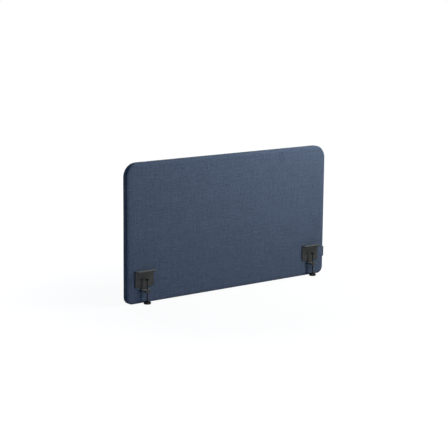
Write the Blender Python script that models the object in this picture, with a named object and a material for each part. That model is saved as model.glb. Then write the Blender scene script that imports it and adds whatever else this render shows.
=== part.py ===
"""Desk privacy panel: a fabric-covered screen with two screw clamps for a desk edge.

Metres, +Z up. The origin is the middle of the panel's bottom edge. The front of the panel,
which carries the clamps and faces the desk top, looks along -Y. The panel stands on Z = 0.
"""

import math

import bmesh
import bpy

# ---- Panel -------------------------------------------------------------------------------
WIDTH = 1.200
HEIGHT = 0.650
THICKNESS = 0.036
TOP_CORNER = 0.064
BOTTOM_CORNER = 0.033
EDGE_DEPTH = 0.0085
EDGE_REACH = 0.0160
FABRIC = 0.0012
GAP = 0.0003
CORNER_STEPS = 9
EDGE_STEPS = 5
WADDING_STEPS = 4
FACE_Y = -THICKNESS / 2
TOOL_REACH = 0.0020

BOARD_THICKNESS = 0.018
BOARD_INSET = 0.0060
WADDING_INSET = FABRIC + GAP

# ---- Zip round both sides and the top, and the strip that closes the bottom -----------------
RIM_Y = 0.0079
TAPE_OUTER_Y = 0.0061
TAPE_INNER_Y = 0.0028
TAPE_SINK = 0.0005
CHAIN_HALF = 0.0025
CHAIN_PROUD = 0.0006
ZIP_END_Z = 0.045
STOP_LENGTH = 0.0045
STOP_CORNER = 0.0006

# ---- Zip slider and puller, parked at the lower end of the right-hand side ------------------
SLIDER_Z = 0.0580
SLIDER_LENGTH = 0.0130
SLIDER_HALF_WIDTH = 0.0050
SLIDER_THICKNESS = 0.0016
SLIDER_TAIL_SHARE = 0.62
SLIDER_NOSE_RISE = 0.6
SLIDER_CORNER = 0.0010
HINGE_FROM_NOSE = 0.0045
PIVOT_RADIUS = 0.0008
EYE_RADIUS = 0.0020
EYE_BORE = 0.0011
EYE_HALF_WIDTH = 0.0018
FOOT_WIDTH = 0.0010
FOOT_HALF = 0.0013
FOOT_CORNER = 0.0005
FOOT_SINK = 0.0004
PULLER_LENGTH = 0.0250
PULLER_HALF_WIDTH = 0.0035
PULLER_THICKNESS = 0.0012
PULLER_NECK_TOP = 0.0012
PULLER_NECK_END = 0.0040
PULLER_SHOULDER = 0.0065

# ---- Sewn-in side tab -----------------------------------------------------------------------
TAB_LOW_Z = 0.084
TAB_HIGH_Z = 0.1335
TAB_REACH = 0.0115
TAB_THICKNESS = 0.0012

# ---- Clamps ---------------------------------------------------------------------------------
CLAMP_X = 0.5065
SHEET = 0.0040
BRACKET_HALF = 0.0510
PLATE_LOW_Z = 0.076
PLATE_HIGH_Z = 0.154
JAW_REACH = 0.0310
ARM_REACH = 0.0350
ARM_HALF = 0.0200
ARM_TOP_Z = 0.066
BEND_RADIUS = 0.0050
JAW_CORNER = 0.006
PLATE_CORNER = 0.004
FILLET = 0.003
ARM_CORNER = 0.012
BACK_Y = FACE_Y - GAP
PLATE_Y = BACK_Y - SHEET
JAW_LIP_Y = FACE_Y - JAW_REACH
ARM_LIP_Y = FACE_Y - ARM_REACH

SCREW_Y = FACE_Y - 0.0260
SCREW_RADIUS = 0.0029
RUNNING = 0.0003
SCREW_LOW_Z = 0.0040
SCREW_HIGH_Z = 0.1120
SCREW_FOOT_EDGE = 0.0006
SCREW_END_LENGTHS = (0.0020, 0.0007)
SCREW_END_INSETS = (0.0008, 0.0022)
KNOB_LOW_Z = 0.0005
KNOB_HIGH_Z = 0.0105
KNOB_RADIUS = 0.0175
KNOB_LOBES = 12
KNOB_EDGE = 0.0012
FLUTE_DEPTH = 0.0006
NECK_BASE_RADIUS = 0.0080
NECK_TOP_RADIUS = 0.0060
NECK_HEIGHT = 0.0040
PAD_RADIUS = 0.0105
PAD_COLLAR_RADIUS = 0.0055
PAD_LOW_Z = 0.1070
PAD_HIGH_Z = 0.1145
PAD_EDGE = 0.0007
PAD_RIM_HEIGHT = 0.0030
PAD_FLANGE_HEIGHT = 0.0040
PAD_FACE_THICKNESS = 0.0018
PAD_FACE_INSET = 0.0006
PAD_FACE_EDGE = 0.0005
BLOCK_HALF_X = 0.0120
BLOCK_HALF_Y = 0.0085
BLOCK_HEIGHT = 0.0060
BLOCK_CORNER = 0.0015
JAW_PAD_THICKNESS = 0.0018
JAW_PAD_CORNER = 0.0030
JAW_PAD_SIDE_MARGIN = 0.0040
JAW_PAD_LIP_MARGIN = 0.0020

# ---- Fixings that hold a bracket to the board --------------------------------------------------
FIXING_OFFSET = 0.0415
FIXING_LOW_Z = 0.091
FIXING_HIGH_Z = 0.131
HEAD_RADIUS = 0.0056
SHANK_RADIUS = 0.0029
HEAD_HEIGHT = 0.0029
HEAD_SINK = 0.0004
SOCKET_RADIUS = 0.0022
HEAD_EDGE = 0.0003
HEAD_LEAD = 0.0005
SOCKET_DEPTH = 0.0022
SCREW_TIP_Y = -0.0030
SCREW_TIP_EDGE = 0.0010
SCREW_TIP_INSET = 0.0009
INSERT_RADIUS = 0.0060
INSERT_END_Y = 0.0008
INSERT_HOLE_END_Y = 0.0012
PEG_RADIUS = 0.0030
PEG_TIP_Y = -0.0040
PEG_CHAMFER = 0.0008
PEG_HOLE_END_Y = -0.0030
PEG_CLEARANCE = 0.0004
ROUND_STEPS = 24

SIDES = {"left": -1, "right": 1}


# ---- Small helpers ---------------------------------------------------------------------------
def clear_scene():
    for obj in list(bpy.data.objects):
        bpy.data.objects.remove(obj, do_unlink=True)


def finish_material(name, colour, roughness, metallic=0.0):
    material = bpy.data.materials.new(name)
    material.use_nodes = True
    shader = material.node_tree.nodes["Principled BSDF"]
    shader.inputs["Base Color"].default_value = (*colour, 1.0)
    shader.inputs["Roughness"].default_value = roughness
    shader.inputs["Metallic"].default_value = metallic
    return material


def add_object(name, bm, material, origin=(0.0, 0.0, 0.0), smooth_degrees=40):
    bmesh.ops.recalc_face_normals(bm, faces=bm.faces)
    mesh = bpy.data.meshes.new(name)
    bm.to_mesh(mesh)
    bm.free()
    mesh.shade_smooth()
    mesh.set_sharp_from_angle(angle=math.radians(smooth_degrees))
    if material:
        mesh.materials.append(material)
    obj = bpy.data.objects.new(name, mesh)
    obj.location = origin
    bpy.context.scene.collection.objects.link(obj)
    return obj


def loft(name, rings, material, origin=(0.0, 0.0, 0.0), loop=False):
    """A solid through rings of points, capped at both ends, or closed on itself as a loop."""
    bm = bmesh.new()
    rows = [[bm.verts.new(point) for point in ring] for ring in rings]
    count = len(rows)
    size = len(rows[0])
    for a in range(count if loop else count - 1):
        b = (a + 1) % count
        for i in range(size):
            j = (i + 1) % size
            bm.faces.new((rows[a][i], rows[a][j], rows[b][j], rows[b][i]))
    if not loop:
        bm.faces.new(rows[0])
        bm.faces.new(rows[-1])
    return add_object(name, bm, material, origin)


def circle(radius, height, axis, steps=ROUND_STEPS, swell=None):
    """Points of a circle about the Y or Z axis; swell(angle) adds to its radius."""
    points = []
    for k in range(steps):
        angle = 2 * math.pi * k / steps
        r = radius + (swell(angle) if swell else 0.0)
        u, v = r * math.cos(angle), r * math.sin(angle)
        points.append((u, v, height) if axis == "Z" else (u, height, v))
    return points


def turned(name, profile, material, origin, axis="Z", steps=ROUND_STEPS, loop=False):
    """A turned solid: profile is a list of (radius, height) along the axis."""
    rings = [circle(radius, height, axis, steps) for radius, height in profile]
    return loft(name, rings, material, origin, loop)


def rounded_box(name, low, high, material, radius, axis="Z", steps=4):
    """A box between two corners with its edges along one axis rounded."""
    along = "XYZ".index(axis)
    u, v = [k for k in range(3) if k != along]
    corners = [
        (high[u] - radius, high[v] - radius, 0.0),
        (low[u] + radius, high[v] - radius, 0.5),
        (low[u] + radius, low[v] + radius, 1.0),
        (high[u] - radius, low[v] + radius, 1.5),
    ]
    outline_points = []
    for cu, cv, start in corners:
        for k in range(steps + 1):
            angle = math.pi * (start + 0.5 * k / steps)
            outline_points.append((cu + radius * math.cos(angle), cv + radius * math.sin(angle)))
    rings = []
    for height in (low[along], high[along]):
        ring = []
        for pu, pv in outline_points:
            point = [0.0, 0.0, 0.0]
            point[u], point[v], point[along] = pu, pv, height
            ring.append(tuple(point))
        rings.append(ring)
    return loft(name, rings, material)


def hide_tool(obj):
    obj.hide_render = True
    obj.display_type = "WIRE"
    return obj


def combine(obj, tool, operation):
    """Adds or cuts a tool shape; the tool itself is only a guide."""
    hide_tool(tool)
    modifier = obj.modifiers.new(tool.name, "BOOLEAN")
    modifier.operation = operation
    modifier.object = tool
    modifier.solver = "EXACT"


# ---- Panel outline -----------------------------------------------------------------------------
def corner_points(centre, radius, start, steps=CORNER_STEPS):
    """A quarter circle in the XZ plane, clockwise from the start angle in degrees."""
    points = []
    for k in range(steps + 1):
        angle = math.radians(start - 90.0 * k / steps)
        points.append((centre[0] + radius * math.cos(angle), centre[1] + radius * math.sin(angle)))
    return points


def corner_sets(inset):
    """The four corners of the outline moved inwards by inset, clockwise from the bottom left."""
    half = WIDTH / 2
    top, bottom = TOP_CORNER, BOTTOM_CORNER
    centres = [
        ((-half + bottom, bottom), bottom, 270.0),
        ((-half + top, HEIGHT - top), top, 180.0),
        ((half - top, HEIGHT - top), top, 90.0),
        ((half - bottom, bottom), bottom, 0.0),
    ]
    return [corner_points(centre, radius - inset, start) for centre, radius, start in centres]


def outline(inset, y):
    return [(x, y, z) for corner in corner_sets(inset) for x, z in corner]


def side_point(inset, side):
    return (side * (WIDTH / 2 - inset), ZIP_END_Z)


def over_the_top(inset):
    """From the zip's lower end on the left, over both top corners, to its lower end on the right."""
    corners = corner_sets(inset)
    return [side_point(inset, -1), *corners[1], *corners[2], side_point(inset, 1)]


def under_the_bottom(inset):
    """From just under the zip's end on the right, round the bottom, to its end on the left."""
    corners = corner_sets(inset)
    left, right = side_point(inset, -1), side_point(inset, 1)
    low = ZIP_END_Z - GAP
    return [(right[0], low), *corners[3], *corners[0], (left[0], low)]


def edge_strip(name, path, outer, inner, y_low, y_high, material, trim=0.0):
    """A flat strip that follows the panel's edge between two insets and two Y values."""
    outside, inside = path(outer), path(inner)
    for points in (outside, inside):
        for end in (0, -1):
            points[end] = (points[end][0], points[end][1] + trim)
    rings = []
    for (xo, zo), (xi, zi) in zip(outside, inside):
        rings.append([(xo, y_low, zo), (xo, y_high, zo), (xi, y_high, zi), (xi, y_low, zi)])
    return loft(name, rings, material)


# ---- Panel pieces ------------------------------------------------------------------------------
def rounded_edge(side, inset, steps):
    """Profile of the soft edge, inset under the cover's surface, from the flat face outwards.

    It is a quarter of an ellipse, as (inset, y) pairs.
    """
    centre_y = side * (THICKNESS / 2 - EDGE_DEPTH)
    reach, depth = EDGE_REACH - inset, EDGE_DEPTH - inset
    points = []
    for k in range(steps + 1):
        angle = math.pi / 2 * k / steps
        points.append((EDGE_REACH - reach * math.sin(angle), centre_y + side * depth * math.cos(angle)))
    return points


def make_cover(name, side, material):
    """One half of the fabric cover: an open tray whose rim lies beside the zip tape."""
    outer = rounded_edge(side, 0.0, EDGE_STEPS) + [(0.0, side * RIM_Y)]
    inner = [(FABRIC, side * RIM_Y)] + rounded_edge(side, FABRIC, EDGE_STEPS)[::-1]
    return loft(name, [outline(inset, y) for inset, y in outer + inner], material)


def make_face_wadding(name, side, material):
    """A soft sheet between the board and one half of the cover."""
    profile = rounded_edge(side, WADDING_INSET, WADDING_STEPS)
    profile[-1] = (WADDING_INSET, side * (BOARD_THICKNESS / 2 + GAP))
    return loft(name, [outline(inset, y) for inset, y in profile], material)


def make_edge_wadding(material):
    """A soft band round the board's edge, under the zip."""
    half = BOARD_THICKNESS / 2
    outer, inner = FABRIC + 2 * GAP, BOARD_INSET - GAP
    rings = [outline(inset, y) for inset, y in ((outer, -half), (outer, half), (inner, half), (inner, -half))]
    return loft("edge_wadding", rings, material, loop=True)


def make_board(material):
    half = BOARD_THICKNESS / 2
    return loft("core_board", [outline(BOARD_INSET, -half), outline(BOARD_INSET, half)], material)


def fixing_places(side):
    """(X, Z) of the two screws at a bracket's inner side."""
    x = side * (CLAMP_X - FIXING_OFFSET)
    return [(x, FIXING_LOW_Z), (x, FIXING_HIGH_Z)]


def peg_places(side):
    """(X, Z) of the two pegs at a bracket's outer side."""
    x = side * (CLAMP_X + FIXING_OFFSET)
    return [(x, FIXING_LOW_Z), (x, FIXING_HIGH_Z)]


def drill(obj, places, radius, y_low, y_high):
    """Round holes along Y."""
    for index, (x, z) in enumerate(places):
        tool = turned(
            f"{obj.name}_bore_{index}_{round(radius * 1e5)}",
            [(radius, y_low), (radius, y_high)],
            None,
            (x, 0.0, z),
            axis="Y",
            steps=16,
        )
        combine(obj, tool, "DIFFERENCE")


def make_panel(finishes):
    fabric, wadding = finishes["fabric"], finishes["wadding"]
    board = make_board(finishes["board"])
    front_wadding = make_face_wadding("front_wadding", -1, wadding)
    make_face_wadding("rear_wadding", 1, wadding)
    make_edge_wadding(wadding)
    front_cover = make_cover("front_cover", -1, fabric)
    make_cover("rear_cover", 1, fabric)
    screws = [place for side in SIDES.values() for place in fixing_places(side)]
    pegs = [place for side in SIDES.values() for place in peg_places(side)]
    board_face = -BOARD_THICKNESS / 2
    beyond = FACE_Y - TOOL_REACH
    hole = PEG_RADIUS + PEG_CLEARANCE
    drill(front_cover, screws + pegs, hole, beyond, FACE_Y + FABRIC + TOOL_REACH)
    drill(front_wadding, screws, INSERT_RADIUS + GAP, beyond, board_face + TOOL_REACH)
    drill(front_wadding, pegs, hole, beyond, board_face + TOOL_REACH)
    drill(board, screws, INSERT_RADIUS + GAP, board_face - TOOL_REACH, INSERT_HOLE_END_Y)
    drill(board, pegs, hole, board_face - TOOL_REACH, PEG_HOLE_END_Y)
    edge_strip("bottom_strip", under_the_bottom, 0.0, FABRIC, -RIM_Y + GAP, RIM_Y - GAP, fabric)


def make_zip(finishes):
    tape, sink = finishes["tape"], TAPE_SINK
    edge_strip("zip_tape_front", over_the_top, sink, FABRIC, -TAPE_OUTER_Y, -TAPE_INNER_Y, tape)
    edge_strip("zip_tape_rear", over_the_top, sink, FABRIC, TAPE_INNER_Y, TAPE_OUTER_Y, tape)
    edge_strip(
        "zip_chain",
        over_the_top,
        -CHAIN_PROUD,
        FABRIC,
        -CHAIN_HALF,
        CHAIN_HALF,
        finishes["chain"],
        trim=STOP_LENGTH + GAP,
    )
    for name, side in (("zip_start_stop", -1), ("zip_end_stop", 1)):
        edges = sorted((side * (WIDTH / 2 - FABRIC), side * (WIDTH / 2 + CHAIN_PROUD)))
        rounded_box(
            name,
            (edges[0], -CHAIN_HALF, ZIP_END_Z),
            (edges[1], CHAIN_HALF, ZIP_END_Z + STOP_LENGTH),
            finishes["zip_metal"],
            radius=STOP_CORNER,
            axis="Y",
            steps=3,
        )


def slider_axis():
    """(X, Z) of the puller's hinge, which runs along Y through the slider's bar."""
    plate_top = WIDTH / 2 + CHAIN_PROUD + GAP + SLIDER_THICKNESS
    return (plate_top + GAP + EYE_RADIUS, SLIDER_Z + SLIDER_LENGTH - HINGE_FROM_NOSE)


def make_slider(finishes):
    """The slider: a shield-shaped plate over the chain with a bar on two feet."""
    metal = finishes["zip_metal"]
    low_x = WIDTH / 2 + CHAIN_PROUD + GAP
    high_x = low_x + SLIDER_THICKNESS
    nose, tail = SLIDER_HALF_WIDTH, SLIDER_HALF_WIDTH * SLIDER_TAIL_SHARE
    shield = []
    for k in range(9):
        angle = math.pi * k / 8
        lift = SLIDER_LENGTH - nose + SLIDER_NOSE_RISE * nose * math.sin(angle)
        shield.append((nose * math.cos(angle), SLIDER_Z + lift))
    corner = SLIDER_CORNER
    shield += [(-tail, SLIDER_Z + corner), (-tail + corner, SLIDER_Z)]
    shield += [(tail - corner, SLIDER_Z), (tail, SLIDER_Z + corner)]
    rings = [[(x, y, z) for y, z in shield] for x in (low_x, high_x)]
    slider = loft("zip_slider", rings, metal)
    axis_x, axis_z = slider_axis()
    foot_inner = EYE_HALF_WIDTH + GAP
    foot_outer = foot_inner + FOOT_WIDTH
    for sign in (-1, 1):
        ends = sorted((sign * foot_inner, sign * foot_outer))
        foot = rounded_box(
            f"slider_foot_{sign + 1}",
            (high_x - FOOT_SINK, ends[0], axis_z - FOOT_HALF),
            (axis_x + FOOT_HALF, ends[1], axis_z + FOOT_HALF),
            None,
            radius=FOOT_CORNER,
            axis="Y",
            steps=3,
        )
        combine(slider, foot, "UNION")
    half_bar = foot_inner + FOOT_WIDTH / 2
    bar_profile = [(PIVOT_RADIUS, -half_bar), (PIVOT_RADIUS, half_bar)]
    bar = turned("slider_bar", bar_profile, None, (axis_x, 0.0, axis_z), "Y", steps=12)
    combine(slider, bar, "UNION")
    return slider


def make_puller(finishes):
    """The puller: a rounded tag that hangs from a rolled eye on the slider's bar."""
    axis_x, axis_z = slider_axis()
    pivot = (axis_x, 0.0, axis_z)
    half = PULLER_THICKNESS / 2
    neck, wide = EYE_HALF_WIDTH, PULLER_HALF_WIDTH
    tag = [(neck, -PULLER_NECK_TOP), (neck, -PULLER_NECK_END), (wide, -PULLER_SHOULDER)]
    for k in range(9):
        angle = math.pi * k / 8
        tag.append((wide * math.cos(angle), -PULLER_LENGTH + wide - wide * math.sin(angle)))
    tag += [(-wide, -PULLER_SHOULDER), (-neck, -PULLER_NECK_END), (-neck, -PULLER_NECK_TOP)]
    rings = [[(x, y, z) for y, z in tag] for x in (-half, half)]
    puller = loft("zip_puller", rings, finishes["zip_metal"], pivot)
    eye = turned("puller_eye", [(EYE_RADIUS, -neck), (EYE_RADIUS, neck)], None, pivot, "Y", 16)
    combine(puller, eye, "UNION")
    reach = neck + TOOL_REACH
    bore = turned("puller_bore", [(EYE_BORE, -reach), (EYE_BORE, reach)], None, pivot, "Y", 16)
    combine(puller, bore, "DIFFERENCE")
    return puller


def make_side_tab(finishes):
    """A plain folded tab sewn in beside the zip on the right-hand side."""
    y_low = -RIM_Y + GAP
    return rounded_box(
        "side_tab",
        (WIDTH / 2 - FABRIC, y_low, TAB_LOW_Z),
        (WIDTH / 2 + TAB_REACH, y_low + TAB_THICKNESS, TAB_HIGH_Z),
        finishes["tape"],
        radius=TAB_THICKNESS,
        axis="Y",
        steps=3,
    )


# ---- Clamp bracket -------------------------------------------------------------------------------
def bracket_path():
    """The folded sheet's middle line in Y and Z, from the jaw's lip round to the arm's lip.

    Returns straight and bent stretches as (kind, data, length).
    """
    jaw_z = PLATE_HIGH_Z - SHEET / 2
    arm_z = ARM_TOP_Z - SHEET / 2
    plate_y = PLATE_Y + SHEET / 2
    bend = BEND_RADIUS
    quarter = math.pi / 2 * bend
    jaw_flat = (plate_y - bend) - JAW_LIP_Y
    arm_flat = (plate_y - bend) - ARM_LIP_Y
    upright = (jaw_z - bend) - (arm_z + bend)
    return [
        ("straight", (JAW_LIP_Y, jaw_z, 1.0, 0.0), jaw_flat),
        ("bend", (plate_y - bend, jaw_z - bend, 90.0), quarter),
        ("straight", (plate_y, jaw_z - bend, 0.0, -1.0), upright),
        ("bend", (plate_y - bend, arm_z + bend, 0.0), quarter),
        ("straight", (plate_y - bend, arm_z, -1.0, 0.0), arm_flat),
    ]


def path_place(distance):
    """(y, z) on the middle line and the (y, z) direction to the sheet's outer side."""
    stretches = bracket_path()
    for index, (kind, data, length) in enumerate(stretches):
        if distance > length and index < len(stretches) - 1:
            distance -= length
            continue
        if kind == "straight":
            y, z, dy, dz = data
            return y + dy * distance, z + dz * distance, -dz, dy
        y, z, start = data
        angle = math.radians(start) - distance / BEND_RADIUS
        c, s = math.cos(angle), math.sin(angle)
        return y + BEND_RADIUS * c, z + BEND_RADIUS * s, c, s


def bracket_stations():
    """(distance along the blank, half width), from the jaw's lip to the arm's lip."""
    lengths = [length for _, _, length in bracket_path()]
    total = sum(lengths)
    to_plate = lengths[0] + lengths[1]
    plate_end = to_plate + (PLATE_HIGH_Z - SHEET / 2 - BEND_RADIUS) - PLATE_LOW_Z
    stations = []

    def arc(centre, base, radius, first, last, steps=4):
        for k in range(steps + 1):
            angle = math.radians(first + (last - first) * k / steps)
            stations.append((centre + radius * math.cos(angle), base + radius * math.sin(angle)))

    arc(JAW_CORNER, BRACKET_HALF - JAW_CORNER, JAW_CORNER, 180, 90)
    stations += [(lengths[0] + lengths[1] * k / 5, BRACKET_HALF) for k in range(6)]
    arc(plate_end - PLATE_CORNER, BRACKET_HALF - PLATE_CORNER, PLATE_CORNER, 90, 0)
    arc(plate_end + FILLET + GAP, ARM_HALF + FILLET, FILLET, 180, 270)
    bend_start = total - lengths[4] - lengths[3]
    stations += [(bend_start + lengths[3] * k / 5, ARM_HALF) for k in range(6)]
    arc(total - ARM_CORNER, ARM_HALF - ARM_CORNER, ARM_CORNER, 90, 0)
    return stations


def make_bracket(name, side, material):
    """Plate, top jaw and lower arm folded from one sheet, with two pegs behind the plate."""
    centre_x = side * CLAMP_X
    half = SHEET / 2
    rings = []
    for distance, width in bracket_stations():
        y, z, ny, nz = path_place(distance)
        outer = (y + half * ny, z + half * nz)
        inner = (y - half * ny, z - half * nz)
        ring = [(sign * width, *place) for sign, place in ((-1, outer), (1, outer), (1, inner), (-1, inner))]
        rings.append(ring)
    bracket = loft(name, rings, material, (centre_x, 0.0, 0.0))
    hole = SCREW_RADIUS + 2 * RUNNING
    screw_hole = turned(
        f"{name}_screw_hole",
        [(hole, ARM_TOP_Z - SHEET - TOOL_REACH), (hole, ARM_TOP_Z + TOOL_REACH)],
        None,
        (centre_x, SCREW_Y, 0.0),
    )
    combine(bracket, screw_hole, "DIFFERENCE")
    for index, (x, z) in enumerate(fixing_places(side)):
        sink = turned(
            f"{name}_sink_{index}",
            [
                (HEAD_RADIUS + GAP, PLATE_Y - TOOL_REACH),
                (HEAD_RADIUS + GAP, PLATE_Y + HEAD_SINK + 2 * GAP),
                (SHANK_RADIUS + GAP, PLATE_Y + HEAD_SINK + HEAD_HEIGHT + HEAD_LEAD),
                (SHANK_RADIUS + GAP, BACK_Y + TOOL_REACH),
            ],
            None,
            (x, 0.0, z),
            axis="Y",
        )
        combine(bracket, sink, "DIFFERENCE")
    for index, (x, z) in enumerate(peg_places(side)):
        peg_profile = [
            (PEG_RADIUS, BACK_Y - half),
            (PEG_RADIUS, PEG_TIP_Y - PEG_CHAMFER),
            (PEG_RADIUS - PEG_CHAMFER, PEG_TIP_Y),
        ]
        peg = turned(f"{name}_peg_{index}", peg_profile, None, (x, 0.0, z), "Y", steps=16)
        combine(bracket, peg, "UNION")
    return bracket


# ---- Clamp pieces ----------------------------------------------------------------------------------
def make_jaw_pad(name, side, material):
    centre_x = side * CLAMP_X
    top = PLATE_HIGH_Z - SHEET - GAP
    half = BRACKET_HALF - JAW_PAD_SIDE_MARGIN
    return rounded_box(
        name,
        (centre_x - half, JAW_LIP_Y + JAW_PAD_LIP_MARGIN, top - JAW_PAD_THICKNESS),
        (centre_x + half, PLATE_Y - SHEET, top),
        material,
        radius=JAW_PAD_CORNER,
    )


def make_threaded_block(name, side, material):
    """A nut block welded under the arm, which the clamp screw turns in."""
    centre_x = side * CLAMP_X
    top = ARM_TOP_Z - SHEET - GAP
    block = rounded_box(
        name,
        (centre_x - BLOCK_HALF_X, SCREW_Y - BLOCK_HALF_Y, top - BLOCK_HEIGHT),
        (centre_x + BLOCK_HALF_X, SCREW_Y + BLOCK_HALF_Y, top),
        material,
        radius=BLOCK_CORNER,
    )
    bore_radius = SCREW_RADIUS + RUNNING
    profile = [(bore_radius, top - BLOCK_HEIGHT - TOOL_REACH), (bore_radius, top + TOOL_REACH)]
    bore = turned(f"{name}_bore", profile, None, (centre_x, SCREW_Y, 0.0))
    combine(block, bore, "DIFFERENCE")
    return block


def make_clamp_screw(name, side, material):
    """The clamp screw, with a rounded end in the pressure pad and a foot inside the knob."""
    r, edge = SCREW_RADIUS, SCREW_FOOT_EDGE
    profile = [
        (r - edge, SCREW_LOW_Z),
        (r, SCREW_LOW_Z + edge),
        (r, SCREW_HIGH_Z - SCREW_END_LENGTHS[0]),
        (r - SCREW_END_INSETS[0], SCREW_HIGH_Z - SCREW_END_LENGTHS[1]),
        (r - SCREW_END_INSETS[1], SCREW_HIGH_Z),
    ]
    return turned(name, profile, material, (side * CLAMP_X, SCREW_Y, 0.0))


def make_knob(name, side, material):
    """A fluted hand knob with a blind bore for the screw's foot."""
    steps = KNOB_LOBES * 4

    def flute(angle):
        return -FLUTE_DEPTH * (1 + math.cos(KNOB_LOBES * angle)) / 2

    edge, rim = KNOB_EDGE, KNOB_RADIUS
    body = [
        (rim - edge, KNOB_LOW_Z),
        (rim, KNOB_LOW_Z + edge),
        (rim, KNOB_HIGH_Z - edge),
        (rim - edge, KNOB_HIGH_Z),
    ]
    rings = [circle(radius, z, "Z", steps, flute) for radius, z in body]
    neck_top = KNOB_HIGH_Z + NECK_HEIGHT
    neck = [(NECK_BASE_RADIUS, KNOB_HIGH_Z), (NECK_TOP_RADIUS, neck_top)]
    bore_radius = SCREW_RADIUS + RUNNING
    bore = [(bore_radius, neck_top), (bore_radius, SCREW_LOW_Z - RUNNING)]
    rings += [circle(radius, z, "Z", steps) for radius, z in neck + bore]
    return loft(name, rings, material, (side * CLAMP_X, SCREW_Y, 0.0))


def make_pressure_pad(name, side, material):
    """The swivel pad: a plate on a collar whose blind socket holds the screw's end."""
    edge = PAD_EDGE
    socket = SCREW_RADIUS + RUNNING
    profile = [
        (PAD_RADIUS - edge, PAD_HIGH_Z),
        (PAD_RADIUS, PAD_HIGH_Z - edge),
        (PAD_RADIUS, PAD_HIGH_Z - PAD_RIM_HEIGHT),
        (PAD_RADIUS - edge, PAD_HIGH_Z - PAD_RIM_HEIGHT - edge),
        (PAD_COLLAR_RADIUS, PAD_HIGH_Z - PAD_FLANGE_HEIGHT),
        (PAD_COLLAR_RADIUS, PAD_LOW_Z + edge),
        (PAD_COLLAR_RADIUS - edge, PAD_LOW_Z),
        (socket, PAD_LOW_Z),
        (socket, SCREW_HIGH_Z + GAP),
    ]
    return turned(name, profile, material, (side * CLAMP_X, SCREW_Y, 0.0))


def make_pad_face(name, side, material):
    low = PAD_HIGH_Z + GAP
    high = low + PAD_FACE_THICKNESS
    radius, edge = PAD_RADIUS - PAD_FACE_INSET, PAD_FACE_EDGE
    profile = [(radius, low), (radius, high - edge), (radius - edge, high)]
    return turned(name, profile, material, (side * CLAMP_X, SCREW_Y, 0.0))


def make_fixing_screw(name, x, z, material):
    """A countersunk screw with a six-sided socket, flush with the bracket's plate."""
    flush = PLATE_Y + HEAD_SINK
    neck = flush + HEAD_HEIGHT
    profile = [
        (HEAD_RADIUS - HEAD_EDGE, flush),
        (HEAD_RADIUS, flush + HEAD_EDGE),
        (SHANK_RADIUS, neck),
        (SHANK_RADIUS, SCREW_TIP_Y - SCREW_TIP_EDGE),
        (SHANK_RADIUS - SCREW_TIP_INSET, SCREW_TIP_Y),
    ]
    screw = turned(name, profile, material, (x, 0.0, z), "Y", steps=16)
    socket_profile = [(SOCKET_RADIUS, flush - TOOL_REACH), (SOCKET_RADIUS, flush + SOCKET_DEPTH)]
    socket = turned(f"{name}_socket", socket_profile, None, (x, 0.0, z), "Y", steps=6)
    combine(screw, socket, "DIFFERENCE")
    return screw


def make_insert(name, x, z, material):
    """A threaded sleeve in the board that reaches out to just under the cover."""
    outer, bore = INSERT_RADIUS, SHANK_RADIUS + GAP
    low, high = FACE_Y + FABRIC + GAP, INSERT_END_Y
    profile = [(outer, low), (outer, high), (bore, high), (bore, low)]
    return turned(name, profile, material, (x, 0.0, z), "Y", steps=16, loop=True)


def make_clamp(label, side, finishes):
    make_bracket(f"{label}_bracket", side, finishes["powder_coat"])
    make_jaw_pad(f"{label}_jaw_pad", side, finishes["rubber"])
    make_threaded_block(f"{label}_threaded_block", side, finishes["powder_coat"])
    make_clamp_screw(f"{label}_clamp_screw", side, finishes["black_steel"])
    make_knob(f"{label}_knob", side, finishes["knob_plastic"])
    make_pressure_pad(f"{label}_pressure_pad", side, finishes["black_steel"])
    make_pad_face(f"{label}_pad_face", side, finishes["rubber"])
    for level, (x, z) in zip(("lower", "upper"), fixing_places(side)):
        make_fixing_screw(f"{label}_fixing_screw_{level}", x, z, finishes["black_steel"])
        make_insert(f"{label}_insert_{level}", x, z, finishes["insert_steel"])


def make_finishes():
    return {
        "fabric": finish_material("navy_fabric", (0.052, 0.074, 0.118), 0.95),
        "wadding": finish_material("grey_wadding", (0.55, 0.55, 0.54), 1.0),
        "board": finish_material("particle_board", (0.52, 0.38, 0.22), 0.8),
        "tape": finish_material("zip_tape", (0.034, 0.048, 0.075), 0.9),
        "chain": finish_material("zip_chain_nylon", (0.060, 0.078, 0.105), 0.45),
        "zip_metal": finish_material("zip_metal", (0.10, 0.11, 0.12), 0.4, 0.8),
        "powder_coat": finish_material("powder_coat", (0.035, 0.034, 0.032), 0.55),
        "black_steel": finish_material("black_steel", (0.03, 0.03, 0.03), 0.4, 0.7),
        "insert_steel": finish_material("insert_steel", (0.6, 0.6, 0.6), 0.35, 1.0),
        "knob_plastic": finish_material("knob_plastic", (0.02, 0.02, 0.02), 0.5),
        "rubber": finish_material("rubber", (0.018, 0.018, 0.018), 0.85),
    }


def main():
    clear_scene()
    finishes = make_finishes()
    make_panel(finishes)
    make_zip(finishes)
    make_slider(finishes)
    make_puller(finishes)
    make_side_tab(finishes)
    for label, side in SIDES.items():
        make_clamp(label, side, finishes)


main()
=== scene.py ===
"""The looks of the desk privacy panel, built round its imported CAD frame.

Metres and +Z up, in the CAD's own frame: X runs along the panel, Y through it, with the clamps
on the -Y side, and Z = 0 is the surface that the panel stands on.
"""

import math

import bmesh
import bpy
import numpy as np
from mathutils import Matrix, Vector


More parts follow.
